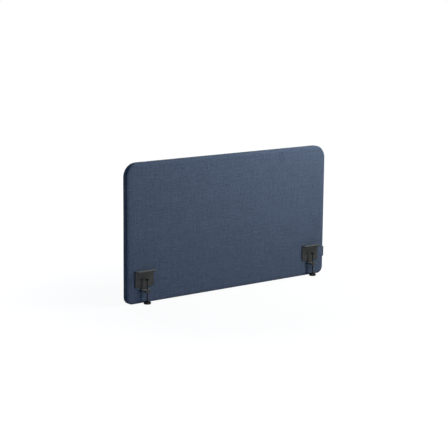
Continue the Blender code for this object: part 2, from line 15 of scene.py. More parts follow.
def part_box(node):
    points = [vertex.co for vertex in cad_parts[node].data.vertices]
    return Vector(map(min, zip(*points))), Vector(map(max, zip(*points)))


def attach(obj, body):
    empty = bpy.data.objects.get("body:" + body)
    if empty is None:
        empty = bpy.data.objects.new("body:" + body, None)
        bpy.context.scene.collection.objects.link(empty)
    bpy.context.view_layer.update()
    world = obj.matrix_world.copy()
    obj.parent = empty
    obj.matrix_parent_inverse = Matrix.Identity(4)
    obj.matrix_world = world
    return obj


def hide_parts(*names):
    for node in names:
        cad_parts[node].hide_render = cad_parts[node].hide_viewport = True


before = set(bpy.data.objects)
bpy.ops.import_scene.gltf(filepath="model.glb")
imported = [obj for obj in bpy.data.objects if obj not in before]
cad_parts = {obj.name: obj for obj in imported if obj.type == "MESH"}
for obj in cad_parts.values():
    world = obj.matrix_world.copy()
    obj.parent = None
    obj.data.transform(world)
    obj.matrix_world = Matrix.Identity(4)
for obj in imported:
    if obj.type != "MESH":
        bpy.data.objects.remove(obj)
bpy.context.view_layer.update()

# ---- The panel, as the CAD has it ----
PANEL_LOW, PANEL_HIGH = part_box("front_cover")
HALF_WIDTH = PANEL_HIGH.x
HEIGHT = PANEL_HIGH.z
HALF_DEPTH = -PANEL_LOW.y
RIM_Y = -PANEL_HIGH.y
TOP_CORNER = 0.064
BOTTOM_CORNER = 0.033
EDGE_DEPTH = 0.0085
EDGE_REACH = 0.0160
FABRIC = 0.0012
HEM_ROUND = 0.0005

TAPE_INNER_Y = 0.0022
TAPE_OUTER_Y = RIM_Y - 0.0001
TAPE_SINK = 0.0005
ZIP_END_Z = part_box("zip_tape_front")[0].z
STOP_LENGTH = 0.0045
CHAIN_HALF = 0.0025
CHAIN_PROUD = 0.0006

# ---- The cloth grid, and the simulation that puffs it: no point moves more than PUFF + CROWN ----
GRID_X = 150
GRID_Z = 81
ROLL_STEPS = 7
HEM_STEPS = 3
PUFF = 0.0012
CROWN = 0.0007
CROWN_REACH = 0.015
PLATE_MARGIN = 0.014
CLOTH_FRAMES = 20
CLOTH_SETTINGS = {
    "quality": 6,
    "mass": 0.02,
    "tension_stiffness": 25,
    "compression_stiffness": 25,
    "shear_stiffness": 12,
    "bending_stiffness": 0.8,
    "air_damping": 1.5,
    "use_pressure": True,
    "uniform_pressure_force": 4.0,
    "vertex_group_mass": "held",
}
# The rear cover is cut from the cloth this far away, so its mottling isn't the front's.
REAR_SHIFT = 3.7

# ---- The yarn: sizes in metres, and the scales of its irregularities ----
THREAD = 0.00125
WOBBLE_SCALE = 38.0
SLUB_SCALE = 75.0
CLOUD_SCALE = 110.0
STREAK_ACROSS = 260.0
STREAK_ALONG = 14.0
FIBRE_SCALE = 5200.0
TAPE_FIBRE_SCALE = 4200.0
TAPE_RIB = 0.0007
TAB_RIB = 0.0011

# ---- Stitches and zip teeth ----
STITCH_PITCH = 0.0036
STITCH_LENGTH = 0.0027
STITCH_RADIUS = 0.00022
STITCH_Y = RIM_Y + 0.0021
TAB_STITCHES = 13
RIBBON = 0.00046
TOOTH_PITCH = 0.0018
TOOTH_RADIUS = 0.00052

# ---- The closing strip's seams and the zip's ends ----
STRIP_CLEARANCE = 0.0001
STRIP_STEP = 0.004
STRIP_POINTS = 12
SEAM_TUCK = 0.0006
SEAM_START = 0.86
STOP_GAP = 0.0004
STOP_CORNER = 0.0008
STOP_GROOVE = 0.0003

# ---- The clamps, from the CAD ----
SIDES = {"left": -1, "right": 1}
SHEET = 0.0040
PLATE_BACK_Y = -0.0183
PLATE_Y = PLATE_BACK_Y - SHEET
BRACKET_LOW, BRACKET_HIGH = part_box("right_bracket")
CLAMP_X = (BRACKET_LOW.x + BRACKET_HIGH.x) / 2
BRACKET_HALF = (BRACKET_HIGH.x - BRACKET_LOW.x) / 2
PLATE_HIGH_Z = BRACKET_HIGH.z
PLATE_LOW_Z = 0.076
JAW_LIP_Y = -HALF_DEPTH - 0.0310
ARM_LIP_Y = -HALF_DEPTH - 0.0350
ARM_HALF = 0.0200
ARM_TOP_Z = 0.066
BEND_RADIUS = 0.0050
SCREW_Y = -HALF_DEPTH - 0.0260
THREAD_PITCH = 0.0010
THREAD_RADIUS = 0.00295
THREAD_DEPTH = 0.00045
THREAD_RUN_OUT = 0.0012
CLEARANCE = 0.0003
SCREW_HOLE_RADIUS = THREAD_RADIUS + 0.0006
TOOL_REACH = 0.002
FIXING_OFFSET = 0.0415
FIXING_HEIGHTS = (0.091, 0.131)
HEAD_RADIUS = 0.0056
HEAD_SINK = 0.0004
HEAD_HEIGHT = 0.0029
SHANK_RADIUS = 0.0029
SOCKET_RADIUS = 0.0022
PEG_RADIUS = 0.0030
PEG_TIP_Y = -0.0040
PEG_EDGE = 0.0008
JAW_CORNER = 0.006
PLATE_CORNER = 0.004
FILLET = 0.003
ARM_CORNER = 0.012
KNOB_LOBES = 12
KNOB_RIM_HEIGHT = 0.0100
KNOB_EDGE = 0.0016
FLUTE_DEPTH = 0.0014
PAD_COLLAR_RADIUS = 0.0055
PAD_EDGE = 0.0006
RING_DEPTH = 0.00035
RIB_DEPTH = 0.0005
BLOCK_CORNER = 0.0015
BEAD_RADIUS = 0.0013
BEAD_STEP = 0.0005

# Turned profiles as (radius, height) pairs. Heights are counted from the knob's foot, its rim's top
# and its collar's top, from the pad's top and foot, and for the last two from the screw's head.
KNOB_FOOT = ((0.0035, 0.0012), (0.0100, 0.0012), (0.0118, 0.0002), (0.0124, 0.0))
KNOB_DISH = ((0.0128, 0.0), (0.0118, -0.0003), (0.0100, -0.0004), (0.0092, 0.0002), (0.0080, 0.0010))
KNOB_COLLAR = ((0.0070, -0.0016), (0.0066, -0.0006), (0.0060, -0.0001), (0.0054, 0.0))
PAD_NECK = ((0.0071, -0.0037), (0.0059, -0.0042), (PAD_COLLAR_RADIUS, -0.0050))
PAD_WAIST = ((PAD_COLLAR_RADIUS, 0.0014), (0.00515, 0.0012), (0.00515, 0.0008))
HEAD_PROFILE = ((0.0004, 0.0), (0.0051, 0.0), (0.00545, 0.0001), (HEAD_RADIUS, 0.0003), (0.0055, 0.00045))
SOCKET_PROFILE = (
    (SOCKET_RADIUS + 0.0002, -0.0010),
    (SOCKET_RADIUS + 0.0002, 0.0),
    (SOCKET_RADIUS, 0.0002),
    (SOCKET_RADIUS, 0.0020),
    (0.0004, 0.0026),
)
# The rounded end of a clamp screw and of a zip stop, as (share of the way, share of the size) and
# (depth below the end, share of the size).
SCREW_TIP = ((0.25, 0.97), (0.65, 0.82), (0.92, 0.55), (1.0, 0.2))
STOP_TIP = ((0.0005, 1.0), (0.00015, 0.912), (0.0, 0.76))

# ---- The zip's slider and puller, from the CAD ----
SLIDER_THICKNESS = 0.0016
SLIDER_HALF_WIDTH = 0.0050
SLIDER_TAIL_SHARE = 0.62
SLIDER_NOSE_RISE = 0.6
SLIDER_CORNER = 0.0007
CROWN_SHARE = 0.62
CROWN_RISE = 0.0003
EYE_RADIUS = 0.0020
EYE_BORE = 0.0011
EYE_HALF_WIDTH = 0.0018
PIVOT_RADIUS = 0.0008
FOOT_WIDTH = 0.0010
FOOT_GAP = 0.0003
FOOT_HALF = 0.0013
FOOT_BASE_HALF = 0.0022
FOOT_SINK = 0.0005
PULLER_HALF_WIDTH = 0.0035
PULLER_THICKNESS = 0.0012
PULLER_NECK_TOP = 0.0012
PULLER_SHOULDER_HIGH = 0.0035
PULLER_SHOULDER_LOW = 0.0070
PULLER_SLOT_HALF = 0.0013
PULLER_SLOT_LOW = 0.0125
PULLER_SLOT_HIGH = 0.0155
GRIP_ROWS = 4
GRIP_START = 0.0030
GRIP_PITCH = 0.0018
GRIP_HALF = 0.0005
GRIP_REACH = 0.0024

# ---- Edges with a greater angle than this, in degrees, are bevelled or stay sharp ----
SHARP_ANGLE = 32.0
BRACKET_BEVEL = 0.0005
BLOCK_BEVEL = 0.00045
SLIDER_BEVEL = 0.00022
PULLER_BEVEL = 0.00018

# ---- Camera and light ----
CAMERA_PLACE = (-4.08274, -5.10467, 1.52473)
CAMERA_AZIMUTH = 38.46
CAMERA_PITCH = 10.52
CAMERA_ROLL = 0.55
CAMERA_LENS = 111.76
KEY_AZIMUTH = 35.0
KEY_DISTANCE = 9.0
KEY_HEIGHT = 0.45
KEY_STRENGTH = 1.56
KEY_SOFTNESS = 0.12
FILL_LIGHT = ((0.10, 0.45, 1.0), 0.15)
BACKDROP = ((1.0, 1.0, 1.0), 1.0)
# Each softbox: name, place, what it faces, its two sides, watts and colour.
SOFTBOXES = (
    ("near_softbox", (0.9, -0.8, 1.6), (0.3, 0.0, 0.4), (0.8, 0.8), 20.0, (1.0, 1.0, 0.95)),
    ("overhead_softbox", (0.1, -0.5, 2.4), (0.0, 0.0, 0.3), (2.4, 1.4), 5.0, (0.85, 0.98, 1.05)),
    ("front_softbox", (0.6, -0.9, 1.0), (0.4, 0.0, 0.5), (0.5, 0.5), 1.2, (1.1, 1.0, 0.95)),
    ("rear_softbox", (0.5, 2.4, 1.3), (0.0, 0.0, 0.3), (1.6, 1.0), 35.0, (1.0, 1.0, 1.0)),
)
FLOOR_HALF = 14.0
FLOOR_SINK = 0.0004
# The floor glows less near the panel than far from it. This is painted shade round the panel's base, in
# which the lamps' real shadows show.
GLOW_DISTANCES = (0.6, 1.6)
GLOW_STRENGTHS = (0.925, 1.02)

X_AXIS = Vector((1.0, 0.0, 0.0))
Y_AXIS = Vector((0.0, 1.0, 0.0))
Z_AXIS = Vector((0.0, 0.0, 1.0))

# The finished materials, filled in by main().
MATERIALS = {}


# ==== Shader nodes ====
class Field:
    """A value that varies over a surface. Each sum, product and so on is one Math node."""

    def __init__(self, tree, socket):
        self.tree = tree
        self.socket = socket

    def calc(self, operation, second=0.0, third=0.0):
        node = add_node(self.tree, "ShaderNodeMath", {0: self, 1: second, 2: third}, operation=operation)
        return Field(self.tree, node.outputs[0])

    def scaled(self, low, high):
        """Turns a value from 0 to 1 into one from low to high."""
        return self.calc("MULTIPLY_ADD", high - low, low)

    def __add__(self, other):
        return self.calc("ADD", other)

    def __mul__(self, other):
        return self.calc("MULTIPLY", other)

    def __truediv__(self, other):
        return self.calc("DIVIDE", other)


def add_node(tree, kind, inputs=None, **settings):
    """A shader node. Each input is a value, a field or another node's output."""
    node = tree.nodes.new(kind)
    for key, value in settings.items():
        setattr(node, key, value)
    for key, value in (inputs or {}).items():
        value = value.socket if isinstance(value, Field) else value
        if isinstance(value, bpy.types.NodeSocket):
            tree.links.new(value, node.inputs[key])
        else:
            node.inputs[key].default_value = value
    return node


class Finish:
    """A Principled material while it is made, with the nodes that feed its shader.

    Names of the shader's inputs have _ for each space.
    """

    def __init__(self, name, **inputs):
        self.material = bpy.data.materials.new(name)
        self.material.use_nodes = True
        self.tree = self.material.node_tree
        self.shader = self.tree.nodes["Principled BSDF"]
        for key, value in inputs.items():
            self.shader.inputs[key.replace("_", " ")].default_value = value

    def feed(self, **sources):
        """Links fields or sockets to the shader's inputs, and gives back the finished material."""
        for key, source in sources.items():
            socket = source.socket if isinstance(source, Field) else source
            self.tree.links.new(socket, self.shader.inputs[key.replace("_", " ")])
        return self.material

    def node(self, kind, inputs=None, **settings):
        return add_node(self.tree, kind, inputs, **settings)

    def field(self, socket):
        return Field(self.tree, socket)

    def place(self):
        """The point on the piece, in metres."""
        return self.node("ShaderNodeTexCoord").outputs["Object"]

    def flat_place(self):
        """The point on the cloth's own flat pattern, in metres."""
        return self.node("ShaderNodeUVMap", uv_map="cloth").outputs[0]

    def split(self, where):
        """A place's three coordinates as fields."""
        return [self.field(part) for part in self.node("ShaderNodeSeparateXYZ", {0: where}).outputs]

    def vector(self, x, y, z=0.0):
        return self.node("ShaderNodeCombineXYZ", {0: x, 1: y, 2: z}).outputs[0]

    def noise(self, where, scale, detail=2.0, roughness=0.5):
        inputs = {"Vector": where, "Scale": scale, "Detail": detail, "Roughness": roughness}
        return self.field(self.node("ShaderNodeTexNoise", inputs).outputs[0])

    def random(self, x, y, z=0.0):
        """A random number from 0 to 1 for each different place."""
        source = self.node("ShaderNodeTexWhiteNoise", {"Vector": self.vector(x, y, z)})
        return self.field(source.outputs["Value"])

    def mapped(self, value, first, last, low, high, **settings):
        """Turns a value from first to last into one from low to high."""
        inputs = {"Value": value, "From Min": first, "From Max": last, "To Min": low, "To Max": high}
        return self.field(self.node("ShaderNodeMapRange", inputs, **settings).outputs[0])

    def tinted(self, colour, amount):
        """The colour times a number."""
        inputs = {0: colour, "Scale": amount}
        return self.node("ShaderNodeVectorMath", inputs, operation="SCALE").outputs[0]

    def blended(self, factor, first, second):
        inputs = {"Factor": factor}
        for key, colour in ((6, first), (7, second)):
            inputs[key] = colour if isinstance(colour, bpy.types.NodeSocket) else (*colour, 1.0)
        return self.node("ShaderNodeMix", inputs, data_type="RGBA").outputs[2]

    def bumped(self, height, distance, strength=1.0, below=None):
        inputs = {"Height": height, "Distance": distance, "Strength": strength}
        if below is not None:
            inputs["Normal"] = below
        return self.node("ShaderNodeBump", inputs).outputs[0]


# ==== Materials ====
def on_top(over, warp, weft):
    """The warp's value where its thread lies over the weft (over is 1), and the weft's elsewhere."""
    under = over * -1.0 + 1.0
    return warp * over + weft * under


def weave_height(fx, fy, over):
    """Height of a plain weave inside one cell: a warp thread over a weft thread, or under it."""
    across_warp = (fx * math.pi).calc("SINE")
    across_weft = (fy * math.pi).calc("SINE")
    warp = across_warp * across_weft.scaled(0.45, 1.0)
    weft = across_weft * across_warp.scaled(0.45, 1.0)
    return on_top(over, warp, weft)


def woven(name, colour, thread, contrast):
    """Plain-weave cloth in mottled yarn, with painted shade in the hollows between its threads. Its
    threads follow the cloth's own flat pattern.
    """
    cloth = Finish(name, Sheen_Weight=0.12, Sheen_Roughness=0.55, Sheen_Tint=(0.62, 0.74, 0.95, 1.0),
                   Specular_IOR_Level=0.25)
    flat = cloth.flat_place()
    x, y, _ = cloth.split(flat)
    drift = cloth.noise(flat, WOBBLE_SCALE, 1.0).scaled(-0.6, 0.6)
    u, v = x / thread + drift, y / thread + drift
    column, row = u.calc("FLOOR"), v.calc("FLOOR")
    over = (column + row).calc("FLOORED_MODULO", 2.0)
    height = weave_height(u.calc("FRACT"), v.calc("FRACT"), over)
    slub_warp = cloth.noise(cloth.vector(column, y * SLUB_SCALE), 1.0)
    slub_weft = cloth.noise(cloth.vector(x * SLUB_SCALE, row, 5.0), 1.0)
    slub = on_top(over, slub_warp, slub_weft)
    shades = (
        (slub, 1.50),
        (cloth.random(column, row), 0.40),
        (cloth.random(column, 7.0, 1.0), 0.22),
        (cloth.random(3.0, row, 2.0), 0.22),
        (cloth.noise(flat, CLOUD_SCALE, 3.0, 0.6), 1.50),
        (cloth.noise(cloth.vector(x * STREAK_ACROSS, y * STREAK_ALONG), 1.0), 1.10),
        (cloth.noise(cloth.vector(x * STREAK_ALONG, y * STREAK_ACROSS, 4.0), 1.0), 1.10),
    )
    # The weave's height darkens the colour in the hollows between threads: painted shade. The factors
    # after it are the yarns' own tones.
    light = height.scaled(0.62, 1.16)
    for shade, share in shades:
        light = light * shade.scaled(1.0 - share * contrast, 1.0 + share * contrast)
    pale = tuple(min(1.0, part * 1.35 + 0.012) for part in colour)
    yarn = cloth.blended(slub.scaled(0.0, 0.8), colour, pale)
    fibres = cloth.noise(flat, FIBRE_SCALE, 2.0, 0.7)
    bump = cloth.bumped(height, thread * 0.35, 0.8)
    return cloth.feed(
        Base_Color=cloth.tinted(yarn, light),
        Normal=cloth.bumped(fibres, 0.00008, 0.5, bump),
        Roughness=fibres.scaled(0.84, 0.99),
    )


def ribbed_tape(name, colour, rib):
    """Ribbon or zip tape: fine ribs that zigzag across its length, with painted shade in the valleys
    between them.
    """
    tape = Finish(name, Roughness=0.85, Sheen_Weight=0.2, Specular_IOR_Level=0.3)
    flat = tape.flat_place()
    x, y, _ = tape.split(flat)
    along, across = x / rib, y / (rib * 0.8)
    zigzag = across.calc("PINGPONG", 1.0)
    ridge = ((along + zigzag).calc("FRACT") * math.pi).calc("SINE")
    thread = tape.random(along.calc("FLOOR"), across.calc("FLOOR"))
    fibres = tape.noise(flat, TAPE_FIBRE_SCALE, 2.0, 0.6)
    # The ribs' valleys are darker: painted shade between the ribs. Each thread's random tone is its own.
    light = ridge.scaled(0.62, 1.18) * thread.scaled(0.8, 1.2)
    bump = tape.bumped(ridge, rib * 0.3, 0.8)
    return tape.feed(Base_Color=tape.tinted(colour, light), Normal=tape.bumped(fibres, 0.00005, 0.4, bump))


def thread_cotton(name, colour):
    cotton = Finish(name, Roughness=0.7, Sheen_Weight=0.2)
    shade = cotton.noise(cotton.place(), 2600.0, 2.0, 0.7)
    return cotton.feed(
        Base_Color=cotton.tinted(colour, shade.scaled(0.6, 1.4)),
        Normal=cotton.bumped(shade, 0.00008, 0.7),
    )


def coated(name, colour, roughness, grain, depth, worn=None, wear=0.5, **inputs):
    """A sprayed or moulded skin: fine grain, cloudy gloss and, with a worn colour, paler edges."""
    coat = Finish(name, Sheen_Roughness=0.4, Sheen_Tint=(0.92, 0.96, 0.86, 1.0), **inputs)
    here = coat.place()
    fine = coat.noise(here, 1.0 / grain, 2.0, 0.55)
    cloudy = coat.noise(here, 55.0, 4.0, 0.6)
    base = coat.tinted(colour, cloudy.scaled(0.9, 1.1) * fine.scaled(0.88, 1.12))
    if worn:
        bent = coat.node("ShaderNodeNewGeometry").outputs["Pointiness"]
        edges = coat.mapped(bent, 0.565, 0.62, 0.0, wear) * coat.noise(here, 420.0, 5.0, 0.75)
        base = coat.blended(edges, base, worn)
    return coat.feed(
        Base_Color=base,
        Roughness=cloudy.scaled(roughness - 0.09, roughness + 0.09) + fine.scaled(-0.04, 0.04),
        Normal=coat.bumped(fine, depth, 0.6),
    )


def turned_metal(name, colour, roughness):
    """Metal with fine lathe lines round the Z axis and small stains."""
    metal = Finish(name, Metallic=1.0)
    here = metal.place()
    x, y, z = metal.split(here)
    lines = metal.noise(metal.vector(x, y, z * 30.0), 260.0, 3.0, 0.7)
    stains = metal.noise(here, 160.0, 4.0, 0.65)
    return metal.feed(
        Base_Color=metal.tinted(colour, lines.scaled(0.8, 1.2) * stains.scaled(0.8, 1.2)),
        Roughness=stains.scaled(roughness - 0.12, roughness + 0.12),
        Normal=metal.bumped(lines, 0.00002, 0.35),
    )


def particle_board(name, pale_chip, dark_chip):
    board = Finish(name, Roughness=0.8)
    here = board.place()
    chips = board.node("ShaderNodeTexVoronoi", {"Vector": here, "Scale": 340.0}).outputs
    tone = board.node("ShaderNodeSeparateColor", {0: chips["Color"]}).outputs[0]
    dust = board.noise(here, 900.0, 4.0, 0.7)
    return board.feed(
        Base_Color=board.tinted(board.blended(tone, dark_chip, pale_chip), dust.scaled(0.8, 1.2)),
        Normal=board.bumped(dust, 0.0003, 0.5),
    )


def pressed_fibre(name, colour):
    felt = Finish(name, Roughness=0.98, Sheen_Weight=0.3)
    here = felt.place()
    fibres = felt.noise(here, 700.0, 6.0, 0.8)
    clumps = felt.noise(here, 60.0, 3.0, 0.6)
    return felt.feed(
        Base_Color=felt.tinted(colour, fibres.scaled(0.75, 1.2) * clumps.scaled(0.9, 1.1)),
        Normal=felt.bumped(fibres, 0.0006, 0.8),
    )


def make_materials():
    """One material for each finish, under the key that new_piece and dress_nodes use."""
    return {
        "fabric": woven("navy_weave", (0.057, 0.082, 0.130), THREAD, 0.30),
        "tab": ribbed_tape("tab_ribbon", (0.022, 0.034, 0.054), TAB_RIB),
        "tape": ribbed_tape("zip_tape_weave", (0.062, 0.084, 0.122), TAPE_RIB),
        "thread": thread_cotton("seam_thread", (0.052, 0.070, 0.104)),
        "chain": coated("coil_nylon", (0.230, 0.300, 0.340), 0.42, 0.0007, 0.00003, (0.26, 0.33, 0.37)),
        "zip_metal": coated("lacquered_zinc", (0.055, 0.060, 0.068), 0.36, 0.0008, 0.00002,
                            (0.34, 0.34, 0.34), wear=0.9, Metallic=0.6),
        "powder": coated("powder_coat", (0.030, 0.030, 0.028), 0.62, 0.00055, 0.00006,
                         Specular_IOR_Level=0.2, Sheen_Weight=0.8),
        "black_steel": turned_metal("black_oxide_steel", (0.026, 0.026, 0.026), 0.45),
        "plated": turned_metal("zinc_plated_steel", (0.60, 0.60, 0.60), 0.30),
        "knob": coated("moulded_plastic", (0.006, 0.006, 0.006), 0.50, 0.00045, 0.00004,
                       (0.03, 0.03, 0.03), Specular_IOR_Level=0.25),
        "rubber": coated("black_rubber", (0.014, 0.014, 0.014), 0.80, 0.0006, 0.00006,
                         (0.04, 0.04, 0.04), Specular_IOR_Level=0.3),
        "board": particle_board("raw_particle_board", (0.60, 0.45, 0.27), (0.36, 0.24, 0.13)),
        "wadding": pressed_fibre("grey_wadding_fibre", (0.55, 0.55, 0.54)),
    }


# ==== Meshes ====
def outward_mesh(name, points, faces):
    """A mesh whose faces all look outwards."""
    mesh = bpy.data.meshes.new(name)
    mesh.from_pydata([tuple(point) for point in points], [], [tuple(face) for face in faces])
    mesh.validate()
    bm = bmesh.new()
    bm.from_mesh(mesh)
    bmesh.ops.recalc_face_normals(bm, faces=bm.faces)
    bm.to_mesh(mesh)
    bm.free()
    return mesh


def linked(name, data):
    thing = bpy.data.objects.new(name, data)
    bpy.context.scene.collection.objects.link(thing)
    return thing


def new_piece(name, solid, finish, node=None, body="root", sharp=38.0, cloth=None):
    """A visible piece from (points, faces) that rides on a CAD body.

    node is the CAD node that it takes the place of, and cloth holds one flat (u, v) for each point.
    """
    mesh = outward_mesh(name, *solid)
    if cloth:
        layer = mesh.uv_layers.new(name="cloth")
        index = np.zeros(len(mesh.loops), int)
        mesh.loops.foreach_get("vertex_index", index)
        layer.data.foreach_set("uv", np.asarray(cloth, float)[index].astype(np.float32).ravel())
    mesh.shade_smooth()
    mesh.set_sharp_from_angle(angle=math.radians(sharp))
    mesh.materials.append(MATERIALS[finish])
    piece = linked(name, mesh)
    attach(piece, body)
    if node:
        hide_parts(node)
    return piece


def ring_faces(rings, size, closed=False):
    """Faces between successive rings of points, and round to the first ring if closed."""
    faces = []
    for a in range(rings if closed else rings - 1):
        here, there = a * size, (a + 1) % rings * size
        for i in range(size):
            j = (i + 1) % size
            faces.append((here + i, here + j, there + j, there + i))
    return faces


def tube_between(rings):
    """The points and faces of a closed solid through rings of points."""
    size, count = len(rings[0]), len(rings)
    faces = ring_faces(count, size)
    faces += [tuple(range(size)), tuple(range((count - 1) * size, count * size))]
    return [point for ring in rings for point in ring], faces


def turned(profile, steps, centre, axis="Z", shape=None):
    """A turned solid through (radius, height) pairs; shape(angle, radius) may change the radius."""
    rings = []
    for radius, height in profile:
        ring = []
        for k in range(steps):
            angle = 2 * math.pi * k / steps
            r = shape(angle, radius) if shape else radius
            u, v = r * math.cos(angle), r * math.sin(angle)
            point = (u, v, height) if axis == "Z" else (u, height, v)
            ring.append((centre[0] + point[0], centre[1] + point[1], centre[2] + point[2]))
        rings.append(ring)
    return tube_between(rings)


def arc_profile(centre, radius, first, last, steps):
    """(radius, height) pairs along an arc, angles in degrees."""
    pairs = []
    for k in range(steps + 1):
        angle = math.radians(first + (last - first) * k / steps)
        pairs.append((centre[0] + radius * math.cos(angle), centre[1] + radius * math.sin(angle)))
    return pairs


def raised(profile, base):
    """A table of (radius, height) pairs with its heights counted from a base."""
    return [(radius, base + height) for radius, height in profile]


def joined(shapes):
    """One list of points and faces from several (points, faces)."""
    points, faces = [], []
    for more_points, more_faces in shapes:
        start = len(points)
        points += more_points
        faces += [tuple(start + i for i in face) for face in more_faces]
    return points, faces


def rounded_rectangle(half_u, half_v, radius, steps):
    """Points of a rectangle with round corners about its middle."""
    points = []
    for sign_u, sign_v, first in ((1, 1, 0), (-1, 1, 90), (-1, -1, 180), (1, -1, 270)):
        for k in range(steps + 1):
            angle = math.radians(first + 90.0 * k / steps)
            points.append((sign_u * (half_u - radius) + radius * math.cos(angle),
                           sign_v * (half_v - radius) + radius * math.sin(angle)))
    return points


def add_bevel(piece, width):
    """Rounds the sharp edges, and keeps flat faces flat in shading."""
    bevel = piece.modifiers.new("edge_bevel", "BEVEL")
    bevel.width = width
    bevel.segments = 3
    bevel.limit_method = "ANGLE"
    bevel.angle_limit = math.radians(SHARP_ANGLE)
    even = piece.modifiers.new("flat_faces_stay_flat", "WEIGHTED_NORMAL")
    even.keep_sharp = True


def ease(t):
    """0 to 1 with a soft start and end."""
    return t * t * (3 - 2 * t)


def combine(piece, tools, operation):
    """Cuts tool shapes out of a piece, or joins them to it, and applies the result."""
    material = piece.data.materials[0]
    for solid in tools:
        tool = linked("tool", outward_mesh("tool", *solid))
        modifier = piece.modifiers.new("combine", "BOOLEAN")
        modifier.operation = operation
        modifier.solver = "EXACT"
        modifier.object = tool
        bpy.context.view_layer.update()
        evaluated = piece.evaluated_get(bpy.context.evaluated_depsgraph_get())
        shaped = bpy.data.meshes.new_from_object(evaluated)
        piece.modifiers.clear()
        used = (piece.data, tool.data)
        piece.data = shaped
        bpy.data.objects.remove(tool)
        for mesh in used:
            bpy.data.meshes.remove(mesh)
    piece.data.materials.clear()
    piece.data.materials.append(material)
    piece.data.shade_smooth()
    piece.data.set_sharp_from_angle(angle=math.radians(SHARP_ANGLE))


# ==== The panel's outline ====
def heading(degrees):
    return Vector((math.cos(math.radians(degrees)), math.sin(math.radians(degrees))))


CORNERS = {
    "low_left": (Vector((-HALF_WIDTH + BOTTOM_CORNER, BOTTOM_CORNER)), BOTTOM_CORNER),
    "low_right": (Vector((HALF_WIDTH - BOTTOM_CORNER, BOTTOM_CORNER)), BOTTOM_CORNER),
    "top_right": (Vector((HALF_WIDTH - TOP_CORNER, HEIGHT - TOP_CORNER)), TOP_CORNER),
    "top_left": (Vector((-HALF_WIDTH + TOP_CORNER, HEIGHT - TOP_CORNER)), TOP_CORNER),
}


def bend(corner, first, last):
    """A run round a corner from one outward angle to another, in degrees."""
    centre, radius = CORNERS[corner]
    turn = last - first
    return radius * math.radians(abs(turn)), lambda t: (centre, radius, first + turn * t)


def straight(start, end, facing):
    """A straight run between two points of the outline."""
    return (end - start).length, lambda t: (start.lerp(end, t), 0.0, facing)


def touching(corner, facing):
    centre, radius = CORNERS[corner]
    return centre + radius * heading(facing)


def walk(runs, distance):
    """The outline's point and outward direction at a distance along some runs."""
    for index, (length, place) in enumerate(runs):
        if distance <= length or index == len(runs) - 1:
            centre, radius, facing = place(min(1.0, distance / length))
            out = heading(facing)
            return centre + radius * out, out
        distance -= length


def side_runs(first, second, facing):
    """One side of the panel, anticlockwise, from the middle of a corner to the middle of the next."""
    return [
        bend(first, facing - 45, facing),
        straight(touching(first, facing), touching(second, facing), facing),
        bend(second, facing, facing + 45),
    ]


def way_round(first, second, turn):
    """From the zip's left end round two corners to its right end, turning by so many degrees at each."""
    middle, last = 180 + turn, 180 + 2 * turn
    return [
        straight(Vector((-HALF_WIDTH, ZIP_END_Z)), touching(first, 180), 180),
        bend(first, 180, middle),
        straight(touching(first, middle), touching(second, middle), middle),
        bend(second, middle, last),
        straight(touching(second, last), Vector((HALF_WIDTH, ZIP_END_Z)), last),
    ]


def zip_runs():
    """The zip's way: up the left side, over the top and down the right side."""
    return way_round("top_left", "top_right", -90)


def bottom_runs():
    """The way of the closing strip: down from the zip's left end, under the panel, and up again."""
    return way_round("low_left", "low_right", 90)


def length_of(runs):
    return sum(length for length, _ in runs)


# ==== Fabric covers ====
def perimeter_marks():
    """The outline's (point, outward direction) at each point of the cloth grid's border."""
    sides = (
        (side_runs("low_left", "low_right", 270), GRID_X),
        (side_runs("low_right", "top_right", 0), GRID_Z),
        (side_runs("top_right", "top_left", 90), GRID_X),
        (side_runs("top_left", "low_left", 180), GRID_Z),
    )
    marks = []
    for runs, steps in sides:
        marks += [walk(runs, length_of(runs) * k / steps) for k in range(steps)]
    return marks


def border_index():
    """Where each border mark sits in the grid, as (i, j)."""
    order = [(i, 0) for i in range(GRID_X)]
    order += [(GRID_X, j) for j in range(GRID_Z)]
    order += [(GRID_X - i, GRID_Z) for i in range(GRID_X)]
    order += [(0, GRID_Z - j) for j in range(GRID_Z)]
    return order


def face_grid(marks, inset):
    """A grid of (x, z) points over the panel's face whose border follows the outline."""
    edge = {}
    for (i, j), (point, out) in zip(border_index(), marks):
        edge[i, j] = np.array(point - inset * out)
    grid = np.zeros((GRID_X + 1, GRID_Z + 1, 2))
    for i in range(GRID_X + 1):
        u = i / GRID_X
        for j in range(GRID_Z + 1):
            if (i, j) in edge:
                grid[i, j] = edge[i, j]
                continue
            v = j / GRID_Z
            across = (1 - u) * edge[0, j] + u * edge[GRID_X, j]
            along = (1 - v) * edge[i, 0] + v * edge[i, GRID_Z]
            corner = (
                (1 - u) * (1 - v) * edge[0, 0]
                + u * (1 - v) * edge[GRID_X, 0]
                + (1 - u) * v * edge[0, GRID_Z]
                + u * v * edge[GRID_X, GRID_Z]
            )
            grid[i, j] = across + along - corner
    return grid


